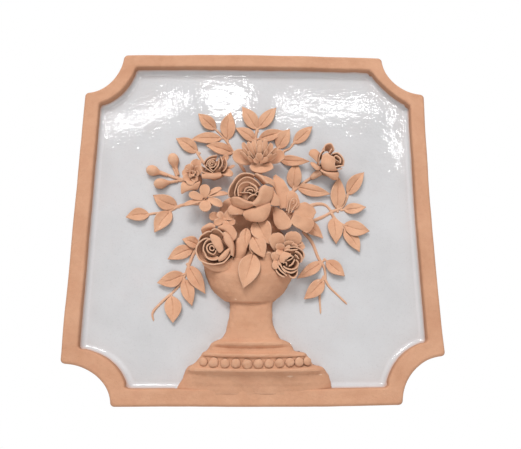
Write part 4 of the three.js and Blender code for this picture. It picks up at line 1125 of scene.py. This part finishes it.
def lily(clay):
    """Open five-petalled flower at the right with a looped stamen."""
    plane = 30
    lump(clay, 27.5, 0, radius=6, height=11.5, seed=65)
    petals = (
        ([(21.5, 5, 26.2), (24.4, 5, 27.2), (27, 3.6, 27)],
         [(20.6, 6, 26.2), (24, 9, 27.4), (27.6, 10, 27.2)],
         [(18.6, 14, 26.4), (23, 16, 28.4), (27.6, 18.5, 27.4)],
         [(16.4, 22, 26.2), (21, 23.5, 27.8), (26.4, 23, 26.6)],
         [(15.2, 28.5, 25.4), (19, 28.8, 26.4), (23.4, 28.6, 25.4)],
         [(15, 32.6, 24.6), (17.2, 34.2, 24.8), (19.4, 32.4, 24.6)]),
        ([(26, 3, 27.2), (28.6, 3, 27.6), (31.6, 2.6, 27.2)],
         [(26.4, 7, 27.6), (30, 7.5, 28.2), (33.6, 5.6, 27.8)],
         [(26.6, 13, 28), (31.4, 13, 29), (36, 9.4, 27.8)],
         [(27.6, 18, 27.4), (32, 17.4, 28.4), (36.2, 13, 27.2)],
         [(29.4, 20, 26.6), (32.4, 19.6, 27), (35, 16.4, 26.6)]),
        ([(32.4, 4.6, 27), (30.6, 0.5, 27.4), (30.6, -3, 27)],
         [(34, 6.6, 26.8), (37, 2.6, 27.8), (36.6, -3, 27.2)],
         [(41, 9.2, 26), (43, 2.6, 27.2), (43.4, -4, 26.4)],
         [(46, 7.2, 25.2), (48.4, 2.4, 25.8), (46.6, -3.6, 25.2)],
         [(48.4, 5, 24.6), (49.8, 1.8, 24.8), (48, -1.6, 24.6)]),
        ([(31.6, 0.6, 27.4), (30, -2.4, 27.6), (28.6, -6, 27.4)],
         [(37.6, -2.4, 27.4), (35.6, -5, 28.4), (32, -8.6, 27.8)],
         [(44, -3.8, 26.6), (41.4, -8.4, 27.8), (36, -11.6, 27.2)],
         [(47.6, -7, 25.6), (44.8, -11.4, 26.4), (39.6, -14, 26.2)],
         [(47.6, -10.6, 25), (45.4, -13.6, 25.2), (42, -15.2, 25.2)]),
        ([(30, -5.6, 27.6), (27.4, -1.6, 28), (22.6, 3, 27.2)],
         [(29.6, -8, 28), (24, -4, 29), (20.8, 3, 27.8)],
         [(27, -10.8, 28), (20.6, -5.4, 29.2), (17, 4.8, 27.6)],
         [(22, -12.5, 27.4), (17, -6.6, 28.4), (15.2, 2.8, 27)],
         [(18, -12, 26.6), (15.2, -6.6, 27.2), (14.4, -1.6, 26.6)]),
    )
    # Each line is drawn out to a share of its own breadth and sunk in its middle, and its ends wave.
    breadth = (1.0, 1.16, 1.2, 1.16, 1.1, 1.0)
    hollow = (0.4, 1.3, 1.7, 1.5, 0.8, 0.2)
    lift = 0.4
    for k, lines in enumerate(petals):
        wide = []
        for share, sunk, line in zip(breadth, hollow, lines):
            line = np.array(line, float)
            line = line[1] + share * (line - line[1])
            line[1, 2] -= sunk
            line[::2, 2] += lift * np.sin([2.1 * len(wide) + k, 2.7 * len(wide) - k])
            wide.append(line)
        sheet(clay, [sighted(line, plane) for line in wide], 1.3, seed=91 + k, rows=34, columns=34,
              uneven=0.45)
    loop = [(27.4, 0.6, 29), (28, 5, 29.8), (28.8, 9.6, 30.2), (30.4, 12.6, 30.4), (32.6, 13.6, 30.4),
            (34.4, 12, 30.2), (34, 9, 30), (31.6, 5.6, 29.8), (29.2, 1, 29)]
    inner = [(30, 11.4, 30.2), (31.6, 11.6, 30.2), (32, 9.8, 30.2), (30.4, 8.6, 30)]
    fold = [(25.6, 2.6, 28.4), (26.6, 7, 29), (27.6, 11, 29.4), (29, 13.6, 29.6)]
    for path, thickness, seed, taper in ((loop, 1.1, 96, 0.1), (inner, 0.9, 97, 0.1), (fold, 0.9, 98, 0.5)):
        places = [(u, v, w - GROUND) for u, v, w in sighted(path, plane)]
        rod(clay, places, thickness, seed, taper=taper, sides=8)


def rosebud(clay):
    """Half open rose at the right, seen from outside, turned away to the side, with sepals under it."""
    rose = Rose(clay, plane=28, heart=(65, 47, 24),
                standing=dict(thickness=1.0, roll=0.4, axis=(0.4, 0.3, 1)),
                spreading=dict(thickness=1.15, uneven=0.2, rows=28, columns=28))
    lump(clay, 62.4, 45.4, radius=7, height=8.5, seed=66)
    rose.stand([(66.6, 50.2, 27.4), (68, 48.8, 28.2), (69.8, 47.4, 28.2), (71.2, 46, 27.4)], depth=6,
               bulge=0.1, seed=101)
    rose.stand([(66.8, 50.6, 27.6), (68.6, 52.2, 28.4), (71, 51.2, 28.4), (72.2, 48.6, 28),
                (71.6, 45.6, 27.4)], depth=6, bulge=0.3, shrink=0.85, seed=102)
    rose.stand([(65.4, 54.2, 26.4), (69.8, 54.8, 27.2), (73.2, 52.2, 27.4), (74.8, 48, 27),
                (74.6, 43.8, 26)], depth=8, seed=103)
    rose.stand([(67.4, 42.8, 27.4), (70.8, 43.2, 28), (74.4, 43.7, 27)], depth=7, roll=0.5, bulge=0.3,
               seed=104)
    rose.stand([(67, 41.6, 26.4), (70, 40.2, 26.8), (73.4, 41.4, 26)], depth=7, roll=0.4, bulge=0.4,
               seed=112)
    rose.stand([(58.4, 55.4, 25.4), (59, 59.6, 26.2), (61.4, 62.4, 26.4), (64.4, 63, 26.4),
                (66.4, 60.6, 26.4), (67.2, 57, 26)], depth=8, roll=0.5, shrink=0.85, seed=105)
    rose.stand([(62.8, 54.6, 27), (64, 56.6, 27.6), (65.4, 58.2, 27.2)], depth=6, roll=0.4, bulge=0.2,
               seed=113)
    rose.stand([(54.2, 44.6, 24.4), (54.2, 49, 25.6), (55.6, 53.6, 26.2), (58.4, 57.6, 26)], depth=8,
               roll=0.45, seed=106)
    rose.spread([
        [(58, 53.6, 24), (63, 52, 25), (66.6, 48, 25)],
        [(56.6, 50.8, 27), (60.4, 54.2, 28.2), (63.6, 52, 28.8), (66.8, 50.4, 28.4), (67.6, 46.6, 28)],
        [(55.8, 48, 26.8), (60.4, 51, 29), (64.4, 49.2, 29.4), (67.4, 44.4, 28.4)],
        [(55.6, 44.6, 26), (59.6, 45.4, 28.8), (64, 45, 29.2), (68, 42.2, 27.8)],
        [(57, 40.6, 24.4), (60, 40, 26.6), (65, 39.8, 27), (68.6, 39.8, 26)],
        [(59.4, 38.4, 22), (62, 38, 23.4), (65, 38, 23.6), (68, 38.6, 23)],
    ], 107, rows=34, columns=34, uneven=0.15)
    rose.spread([
        [(54, 46, 20), (54.6, 50, 20), (55.4, 54, 20)],
        [(52.6, 45.8, 23.6), (53, 50.6, 24.6), (54.6, 55, 23.6)],
        [(49.2, 49.2, 24.6), (49.6, 53.4, 25.6), (51.4, 58, 24.4)],
        [(46.4, 51.6, 23.8), (46.6, 54.6, 24.4), (48.2, 57.8, 23.8)],
        [(45.4, 53, 22.6), (45.6, 54.8, 22.8), (46.6, 56.8, 22.6)],
    ], 108)
    rose.spread([
        [(57, 42.6, 20.6), (56.6, 41, 20.8), (56, 39.4, 20.6)],
        [(53.6, 42.6, 23), (52.6, 40.8, 23.6), (51.6, 39, 23)],
        [(50.2, 45.4, 22.8), (49.2, 43.8, 23.4), (48, 42.2, 22.8)],
        [(46.8, 46.4, 21.6), (46.4, 45.8, 21.7), (46.2, 45.2, 21.6)],
    ], 109, rows=22, columns=18)
    rose.spread([
        [(56, 40.6, 20), (61, 39, 21), (68, 39, 20)],
        [(54.6, 38.8, 23.8), (61, 37.2, 25), (70.2, 37.4, 23.6)],
        [(57, 37, 24), (63, 34.8, 25), (70.6, 35.6, 23.8)],
        [(61.6, 33.6, 23.4), (65.4, 32.4, 24), (70, 33, 23.2)],
        [(65.6, 30.6, 22.2), (67.4, 30.4, 22.4), (69, 31, 22.2)],
    ], 110)
    rod(clay, [(48, 35.4, 3), (52, 38.4, 4.6), (57, 41.4, 5)], 4.4, 111, taper=-0.5)


def small_rose(clay):
    """Small tight rose at the upper left with a band-like petal under it and straps at its right."""
    plane = 29
    rose = Rose(clay, plane, heart=(-36, 43, 26),
                standing=dict(thickness=0.9, roll=0.35, depth=4.2, bulge=0.3, axis=(-0.05, 0.15, 1)),
                spreading=dict(thickness=1.1, uneven=0.35, rows=24, columns=34))
    lump(clay, -35, 42, radius=8.2, height=12.2, seed=67)
    rose.stand(arc((-36.8, 44), 1.1, 0, 340, 28.6), depth=2.8, roll=0.25, bulge=0.1, shrink=0.8, seed=121)
    rose.stand(arc((-36.8, 44), 2.4, 20, 290, 28.6, dip=0.4), depth=3.5, roll=0.3, bulge=0.1, seed=122)
    for k, lip in enumerate((
        [(-39.6, 41.8, 27.8), (-37.2, 40.4, 28.4), (-34.6, 41.4, 28.4), (-33.4, 43.8, 28)],
        [(-41, 41.6, 27.4), (-40.2, 45.4, 28.2), (-37.2, 47.8, 28.2), (-33.6, 47.8, 27.6)],
        [(-42.8, 42.6, 27), (-40.6, 39.6, 28), (-38, 37.6, 28.4), (-35.4, 35.4, 27.8)],
        [(-45.2, 42, 25.6), (-45.4, 38.6, 26.6), (-43.4, 36, 27.2), (-40.4, 34.8, 27)],
        [(-34.8, 38, 28), (-33, 40.4, 28.6), (-31.4, 42.2, 28.6), (-30.9, 45.2, 28.4), (-31.6, 48.4, 27.8)],
        [(-31, 38.6, 27.2), (-28.7, 42, 28), (-28.4, 46, 28), (-29.6, 50.2, 27)],
        [(-27.4, 37, 26.2), (-25, 40, 27), (-24.4, 44, 27), (-25.8, 49.2, 26)],
        [(-43, 44, 26.4), (-41, 47.8, 27), (-36.8, 50.2, 27), (-32.4, 51, 26.4)],
        [(-38.6, 40.4, 27.6), (-36.8, 38.4, 28.2), (-35, 37.6, 28)],
    )):
        rose.stand(lip, seed=123 + k)
    rose.spread([
        [(-44, 37, 22), (-36, 37, 23), (-29, 37, 22)],
        [(-45.2, 34, 26.6), (-36, 34.5, 27.8), (-28.4, 34.4, 26.6)],
        [(-45, 31.8, 27), (-36.6, 31.6, 28), (-28.8, 32.8, 27)],
        [(-44, 30.5, 25.6), (-37, 30.1, 26.2), (-30, 31.4, 25.6)],
    ], 132)
    for place, seed in (
        ((-29.4, 36.6, 20, -19, 34.2, 26, 7.2), 133), ((-26, 37.4, 20, -17.4, 42.4, 24.6, 2.8), 134),
        ((-28, 47, 17, -22.6, 50, 21, 6), 135),
    ):
        petal(clay, on_plane(place, plane), cup=0.14, lip=0.3, seed=seed, thickness=1.1)


def tilted_blossom(clay):
    """Blossom at the left that leans to the side, with a crumpled middle and a leaf-like petal under it."""
    plane = 28
    lump(clay, -52.4, 33.4, radius=6.4, height=9, seed=68, squash=1.3)
    sheet(clay, [sighted(line, plane) for line in (
        [(-59, 28, 21), (-53, 27, 22), (-47, 28, 22)],
        [(-61.4, 26.8, 23.6), (-54, 25.4, 25), (-46, 28, 24.6)],
        [(-62, 22.6, 23.8), (-54.6, 23, 25.4), (-46.2, 25.4, 24.8)],
        [(-61.6, 18, 23), (-55.4, 20.6, 24.4), (-47.4, 22, 24)],
        [(-60.6, 18, 21.6), (-55.4, 20.8, 22.6), (-48, 22, 22.4)],
    )], 1.1, seed=140, rows=26, columns=34, uneven=0.35)
    for place, seed in (
        ((-52, 36, 22, -48.6, 48, 25, 9.6), 141), ((-53.6, 36, 22, -57.6, 43, 24.6, 8.4), 142),
        ((-54.4, 34.6, 22, -61.6, 35.6, 24.6, 8), 143), ((-54, 33, 22, -60, 29.6, 25.4, 7.6), 144),
        ((-53, 32, 22, -54.6, 25, 26.4, 8), 145), ((-51.6, 33, 22, -50.2, 28, 26, 6), 146),
        ((-51, 35, 22, -45, 40.4, 26, 8), 139), ((-51, 34, 23, -47.4, 35, 26.4, 6), 138),
    ):
        petal(clay, on_plane(place, plane), seed=seed, arch=0.05, cup=0.12, lip=0.3, wave=0.5)
    chance = np.random.default_rng(147)
    for k in range(9):
        turn = 2 * math.pi * k / 9 + chance.uniform(-0.3, 0.3)
        reach = chance.uniform(2, 3.6)
        tip = (-53 + reach * math.cos(turn), 35 + 1.3 * reach * math.sin(turn), chance.uniform(27, 28.6))
        petal(clay, on_plane((-53, 35, 23, *tip, chance.uniform(2.4, 3.4)), plane), cup=0.25, seed=150 + k,
              rows=14, columns=12, thickness=0.8)


def star_flower(clay):
    """Flower of narrow petals left of the middle, and the small one below it."""
    plane = 28
    lump(clay, -41.5, 12.5, radius=4.6, height=10.5, seed=69)
    for place, shape, seed in (
        ((-42, 13.6, 24, -42, 25.8, 26, 9), {}, 161), ((-43.4, 13, 24, -55.2, 17.6, 26, 7.2), {}, 162),
        ((-44, 11.6, 24, -58.8, 7.6, 25.4, 5.4), dict(roll=20), 163),
        ((-41.4, 11.6, 24.6, -41, 2.2, 27, 10), {}, 164),
        ((-39, 13.4, 24.6, -27, 7.2, 26.6, 6.8), dict(cup=0.2), 165),
        ((-39, 14.8, 24.6, -22.8, 17.8, 26, 5.6), dict(roll=-30, cup=0.2), 166),
        ((-40, 15.4, 24, -28.4, 23, 25.4, 5.8), dict(roll=-25), 167),
    ):
        given = dict(arch=0.07, cup=0.08, lip=0.2, thickness=1.15)
        given.update(shape)
        petal(clay, on_plane(place, plane), seed=seed, **given)
    for k in range(5):
        turn = 2 * math.pi * k / 5 + 0.5
        lump(clay, -41.4 + 1.1 * math.cos(turn), 12.8 + 1.1 * math.sin(turn), radius=0.9, height=12.6,
             seed=180 + k)
    lump(clay, -25, -4.6, radius=5.4, height=12.4, seed=70)
    for place, seed in (
        ((-25, -3.6, 25, -19.6, 2.6, 28, 6.6), 168), ((-26, -3.6, 25, -31, 1.6, 27, 6), 169),
        ((-26, -5, 25, -33.6, -8.4, 27.4, 6.6), 170), ((-24.6, -6, 26, -23, -12, 29, 6), 171),
        ((-24, -4.6, 25, -16.4, -7.6, 28, 6.6), 172), ((-24, -3.6, 25, -17.6, -2, 27.6, 5.4), 173),
        ((-28, -2, 20, -38, -2, 23, 8), 174),
    ):
        petal(clay, on_plane(place, plane), arch=0.06, cup=0.12, lip=0.3, seed=seed, thickness=1.1, rows=20,
              columns=16)


# The leaves are made this much broader than their widths below.
LEAF_BREADTH = 1.06
# A leaf whose base is lower than this lies on the ground: its tip is lowered to a share of its height, and
# a neck of clay joins it to its stem.
LOW_BASE, LOW_TIP = 2, 0.55
# Leaves: base, tip (across, up, height over the ground) and full width.
LEAVES = [
    (-35.5, 81.5, 0, -51, 95.5, 5.5, 10.5), (-24.5, 72, 0, -22, 97, 5.5, 12.5),
    (-30, 73, 0, -57, 70, 5.5, 10),
    (-19.5, 59.5, 0, -43.5, 65, 6.5, 10.5), (-51, 60, 0, -70, 71.5, 5.5, 11),
    (1, 82, 0, -12, 102.5, 5.5, 12),
    (3, 83, 0, 18.5, 102, 5.5, 11), (0, 71, 0, -18, 82, 5.5, 10), (3, 73, 0, 25, 80, 5.5, 10),
    (20, 64, 0, 30.5, 81, 7.5, 12), (34, 69, 0, 50.5, 84.5, 5.5, 10), (21, 54, 0, 47, 50.5, 11, 9),
    (33, 27, 0, 36, 50, 5.5, 12), (36, 29, 0, 65, 22, 6.5, 10), (71, 9, 0, 72.5, 37, 5.5, 12),
    (80, 22, 0, 95, 41.5, 5.5, 11), (76, 8.5, 0, 95, 10.5, 5.5, 9), (67, 1, 0, 68, -22, 5.5, 12),
    (76, -5, 0, 97, -10.5, 5.5, 12.5), (76, -9, 0, 87.5, -29, 5.5, 11), (36, -2, 0, 57, -18, 6.5, 11),
    (60, -36, 0, 74.5, -49, 5.5, 10.5), (56, -37, 0, 34.5, -51, 9, 9), (57, -52, 0, 40, -68, 5.5, 11),
    (-47, -24, 0, -61, -19, 5.5, 9), (-52, -26, 0, -72, -36, 5.5, 11), (-59, -48, 0, -80, -55, 5.5, 12),
    (-55, -41, 0, -40, -64, 6.5, 11), (-58, -52, 0, -51, -74, 5.5, 10.5), (-68, -66, 0, -66, -87.5, 5.5, 13),
    (-90, 3, 0, -109, -0.5, 5.5, 11), (-67, 10.5, 0, -87, 20, 5.5, 12), (-72, 6, 0, -84, -13.5, 5.5, 12.5),
    (-1.5, -33.5, 17.5, -9, -61.5, 20, 16), (-1.5, -19, 15.5, 7.5, -37, 18.5, 12.5),
    (1, -4, 12, 11.5, -25, 16.5, 16),
    (-3, -25, 15, -2.5, -34, 18, 4.6), (-7, -11, 12, -7, -30, 15.5, 9),
]
# Stems: thickness share, then places as across, up and height over the ground.
STEMS = [
    (1, [(-8, 40, 0), (-19, 59, 0), (-24, 68, 0.5), (-29, 75, 0.5), (-36, 82, 0.5)]),
    (1, [(-38, 46, 0.5), (-45, 50, 0.5), (-48, 54, 0.5), (-52, 60.5, 0.5)]),
    (1, [(-1, 56, 0.5), (0, 73, 0.5), (2, 85, 0.5)]),
    (0.9, [(18, 50, 0.5), (25, 61, 0.5), (30, 64, 0.5), (35, 70, 0.5)]),
    (1, [(22, 14, 0.5), (32, 24, 0.5), (42, 32, 0.8), (50, 38, 1.5), (57, 43, 3)]),
    (1, [(38, 8, 0.5), (48, 12, 0.5), (55, 13.5, 0.5), (61, 12, 0.5), (67, 5, 0.5)]),
    (1, [(38, -4, 0.5), (48, -2, 0.5), (58, 2, 0.5), (67, 7, 0.5), (75, 11, 0.5), (81, 22.5, 0.5)]),
    (0.9, [(65, 6, 0.5), (68, 1, 0.5), (71, -2, 0.5), (77, -7, 0.5)]),
    (1, [(40, -10, 0.5), (48, -20, 0.5), (53, -33, 0.5), (58, -42, 0.5), (59, -54, 0.5)]),
    (0.7, [(58, -51, 0.5), (62, -58, 0.6), (70, -66, 0.7), (76, -72, 0.8)]),
    (0.7, [(54, -56, 0.5), (53.5, -68, 0.6), (54, -80, 0.8)]),
    (0.8, [(58, -48, 0.5), (55, -54, 0.5), (53, -62, 0.5)]),
    (1, [(-42, -20, 0.5), (-50, -28, 0.5), (-55, -41, 0.5), (-60, -54, 0.5), (-69, -65, 0.5)]),
    (0.8, [(-67, -63, 0.5), (-75, -70, 0.6), (-82.5, -79, 0.7), (-81.5, -86, 0.8)]),
    (1, [(-40, 12, 0.5), (-52, 13, 0.5), (-64, 11, 0.5), (-74, 6, 0.5), (-92, 3, 0.5)]),
    (1, [(-50, 33, 0.5), (-60, 34, 0.5), (-68, 35.5, 0.8), (-75, 38, 1), (-84, 42, 2)]),
    (0.9, [(-67, 35, 0.5), (-69, 40, 1), (-73, 49, 2)]),
    (0.9, [(-60, 34, 0.5), (-70, 32.5, 1), (-79, 29.5, 2)]),
]
# Radius of the stalk of a closed bud.
BUD_STALK = 1.3
# Closed buds: base, tip and thickness.
BUDS = [
    (-76, 37.8, 1.2, -94, 43, 4.4, 9.4), (-66.7, 38.4, 1.2, -73, 57, 4.6, 9.4),
    (-67, 32.8, 1.2, -87, 28.6, 4.2, 9.2),
]


def build_leaves(material):
    """Pressed leaves with a cut midrib, each bent a little in its own way."""
    clay = Clay()
    chance = np.random.default_rng(7)
    for k, (u0, v0, h0, u1, v1, h1, width) in enumerate(LEAVES):
        low = h0 < LOW_BASE
        place = (u0, v0, h0, u1, v1, (LOW_TIP if low else 1) * h1, LEAF_BREADTH * width)
        blade(clay, place, leaf_outline, seed=200 + k, veins=1.0, bend=chance.uniform(-0.07, 0.07),
              columns=31,
              arch=chance.uniform(0.05, 0.1), cup=chance.uniform(0.04, 0.12), roll=chance.uniform(-8, 8),
              wave=0.3, curl=chance.uniform(-0.04, 0.06))
        along = np.array([u1 - u0, v1 - v0]) / math.hypot(u1 - u0, v1 - v0)
        if low:
            neck = [(u0 - 3.2 * along[0], v0 - 3.2 * along[1], 0.2), (u0, v0, 0.7),
                    (u0 + 4 * along[0], v0 + 4 * along[1], 1.0)]
            rod(clay, neck, 2.6, 400 + k, taper=0.55, sides=10)
    return clay.piece("leaves", material)


def build_stems(material):
    """Rolled stems and the closed buds at their ends."""
    clay = Clay()
    # Bed of clay under the bouquet, which shows dark between the flowers.
    lump(clay, -8, 5, radius=23, height=5, seed=311, squash=0.75)
    lump(clay, 12, -2, radius=13, height=5, seed=312)
    for k, (share, path) in enumerate(STEMS):
        rod(clay, path, STEM_THICKNESS * share, 300 + k)
    rows, columns = 26, 22
    for k, (u0, v0, h0, u1, v1, h1, width) in enumerate(BUDS):
        base = np.array([u0, v0, GROUND + h0])
        tip = np.array([u1, v1, GROUND + h1])
        ahead = unit(tip - base)
        aside = unit(np.cross([0.0, 0.0, 1.0], ahead))
        out = np.cross(ahead, aside)
        s = np.linspace(0, 1, rows)
        swell = np.sin(math.pi / 2 * np.clip((s - 0.3) / 0.4, 0, 1)) ** 1.6
        tip_round = np.sqrt(np.clip(1 - np.clip((s - 0.72) / 0.28, 0, 1) ** 2, 0.002, 1))
        reach = (BUD_STALK + (width / 2 - BUD_STALK) * swell) * tip_round
        turn = np.linspace(0, 2 * math.pi, columns, endpoint=False)
        along = base + ahead * (np.linalg.norm(tip - base) * s)[:, None]
        ring = (along[:, None] + aside * (reach[:, None] * np.cos(turn))[..., None]
                + out * (reach[:, None] * 0.85 * np.sin(turn))[..., None])
        ring = ring + out * (0.25 * ripple(ring, 8, 320 + k))[..., None]
        clay.tube(ring)
    return clay.piece("stems_and_buds", material)


slab_clay = clay_material("slab_clay", BODY_LIGHT, BODY_DARK, 0.0, SLAB_EDGE_TONES)
body_clay = clay_material("bare_clay", BODY_LIGHT, BODY_DARK, 0.0)
flower_clay = clay_material("flower_clay", FLOWER_LIGHT, FLOWER_DARK, 0.4)

slab = build_slab(slab_clay)
build_glaze(glaze_material())
build_urn(body_clay)
build_beads(body_clay)
build_leaves(flower_clay)
build_stems(flower_clay)
for model in (centre_rose, left_rose, peony, top_flower, lily, rosebud, small_rose, tilted_blossom,
              star_flower):
    flower = Clay()
    model(flower)
    flower.piece(model.__name__, flower_clay)
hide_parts("plaque")

# Plain pale floor well below, as under a product shot.
floor_mesh = bpy.data.meshes.new("floor")
FLOOR_HALF = 1.4
FLOOR_DROP = 0.85
floor_up = plaque_low[2] - FLOOR_DROP
corner_sides = ((-1, -1), (1, -1), (1, 1), (-1, 1))
floor_corners = [(x * FLOOR_HALF, y * FLOOR_HALF, floor_up) for x, y in corner_sides]
floor_mesh.from_pydata(floor_corners, [], [(0, 1, 2, 3)])
floor = bpy.data.objects.new("floor", floor_mesh)
bpy.context.scene.collection.objects.link(floor)
floor_look, _, _, floor_shader = node_material("pale_floor")
floor_shader.inputs["Base Color"].default_value = (0.8, 0.8, 0.8, 1)
floor_shader.inputs["Roughness"].default_value = 0.9
floor_mesh.materials.append(floor_look)


def panel(name, place, target, size, power, lean=0.0):
    """Soft rectangular light aimed at a target, in metres, watts and degrees of lean."""
    lamp = bpy.data.lights.new(name, "AREA")
    lamp.shape = "RECTANGLE"
    lamp.size, lamp.size_y = size
    lamp.energy = power
    holder = bpy.data.objects.new(name, lamp)
    bpy.context.scene.collection.objects.link(holder)
    back = unit(np.array(place) - np.array(target))
    right = unit(np.cross([0.0, 0.0, 1.0], back))
    up = np.cross(back, right)
    turned = Matrix([[right[k], up[k], back[k], place[k]] for k in range(3)] + [[0, 0, 0, 1]])
    holder.matrix_world = turned @ Matrix.Rotation(math.radians(lean), 4, "Z")


panel("key", place=(-0.6, -2.3, 2.3), target=(0, 0, 0), size=(1.5, 0.8), power=50)
panel("fill", place=(0.9, -2.2, -1.4), target=(0, 0, 0), size=(1.8, 1.2), power=10)
# Narrow strips whose broken images lie in the glaze above the bouquet: across, up, width, height and lean.
STRIPS = ((-0.37, 0.67, 0.3, 0.016, 27), (-0.1, 0.73, 0.15, 0.045, 4), (0.26, 0.7, 0.36, 0.014, -5),
          (0.51, 0.6, 0.01, 0.2, 0))
STRIP_OUT = 1.19
STRIP_GLOW = 115
STRIP_TARGET = (0, 0, 0.08)
for k, (across, up, wide, tall, lean) in enumerate(STRIPS):
    panel("strip_%d" % k, (across, -STRIP_OUT, up), STRIP_TARGET, (wide, tall), STRIP_GLOW * wide * tall,
          lean)

# White surround: even to the camera, and as a light dimmer below than above.
LIGHT_BELOW, LIGHT_ABOVE = 0.3, 0.6
world = bpy.data.worlds.new("studio")
world.use_nodes = True
bpy.context.scene.world = world
tree = world.node_tree
tree.nodes.clear()
seen = tree.nodes.new("ShaderNodeBackground")
seen.inputs["Color"].default_value = (1, 1, 1, 1)
seen.inputs["Strength"].default_value = 1.0
lit = tree.nodes.new("ShaderNodeBackground")
lit.inputs["Color"].default_value = (1, 1, 1, 1)
rays = tree.nodes.new("ShaderNodeLightPath")
mixed = tree.nodes.new("ShaderNodeMixShader")
world_out = tree.nodes.new("ShaderNodeOutputWorld")
sky = tree.nodes.new("ShaderNodeTexCoord")
apart = tree.nodes.new("ShaderNodeSeparateXYZ")
tree.links.new(sky.outputs["Generated"], apart.inputs["Vector"])
slope = tree.nodes.new("ShaderNodeMapRange")
slope.inputs["From Min"].default_value = -1.0
slope.inputs["From Max"].default_value = 1.0
slope.inputs["To Min"].default_value = LIGHT_BELOW
slope.inputs["To Max"].default_value = LIGHT_ABOVE
tree.links.new(apart.outputs["Z"], slope.inputs["Value"])
tree.links.new(slope.outputs["Result"], lit.inputs["Strength"])
tree.links.new(rays.outputs["Is Camera Ray"], mixed.inputs["Fac"])
tree.links.new(lit.outputs["Background"], mixed.inputs[1])
tree.links.new(seen.outputs["Background"], mixed.inputs[2])
tree.links.new(mixed.outputs["Shader"], world_out.inputs["Surface"])

lens = bpy.data.cameras.new("camera")
lens.sensor_width = SENSOR_WIDTH
lens.lens = FOCAL_PIXELS / FRAME_PIXELS[0] * lens.sensor_width
camera = bpy.data.objects.new("camera", lens)
bpy.context.scene.collection.objects.link(camera)
aim = (Matrix.Rotation(math.radians(CAMERA_YAW), 3, "Z") @ Matrix.Rotation(math.radians(CAMERA_PITCH), 3,
                                                                           "X")
       @ Matrix.Rotation(math.radians(CAMERA_ROLL), 3, "Y"))
upright = aim @ Matrix.Rotation(math.radians(90), 3, "X")
camera.matrix_world = Matrix.Translation([c * MM for c in CAMERA_PLACE]) @ upright.to_4x4()
bpy.context.scene.camera = camera

bpy.context.scene.view_settings.view_transform = "Standard"
bpy.context.scene.view_settings.look = "None"
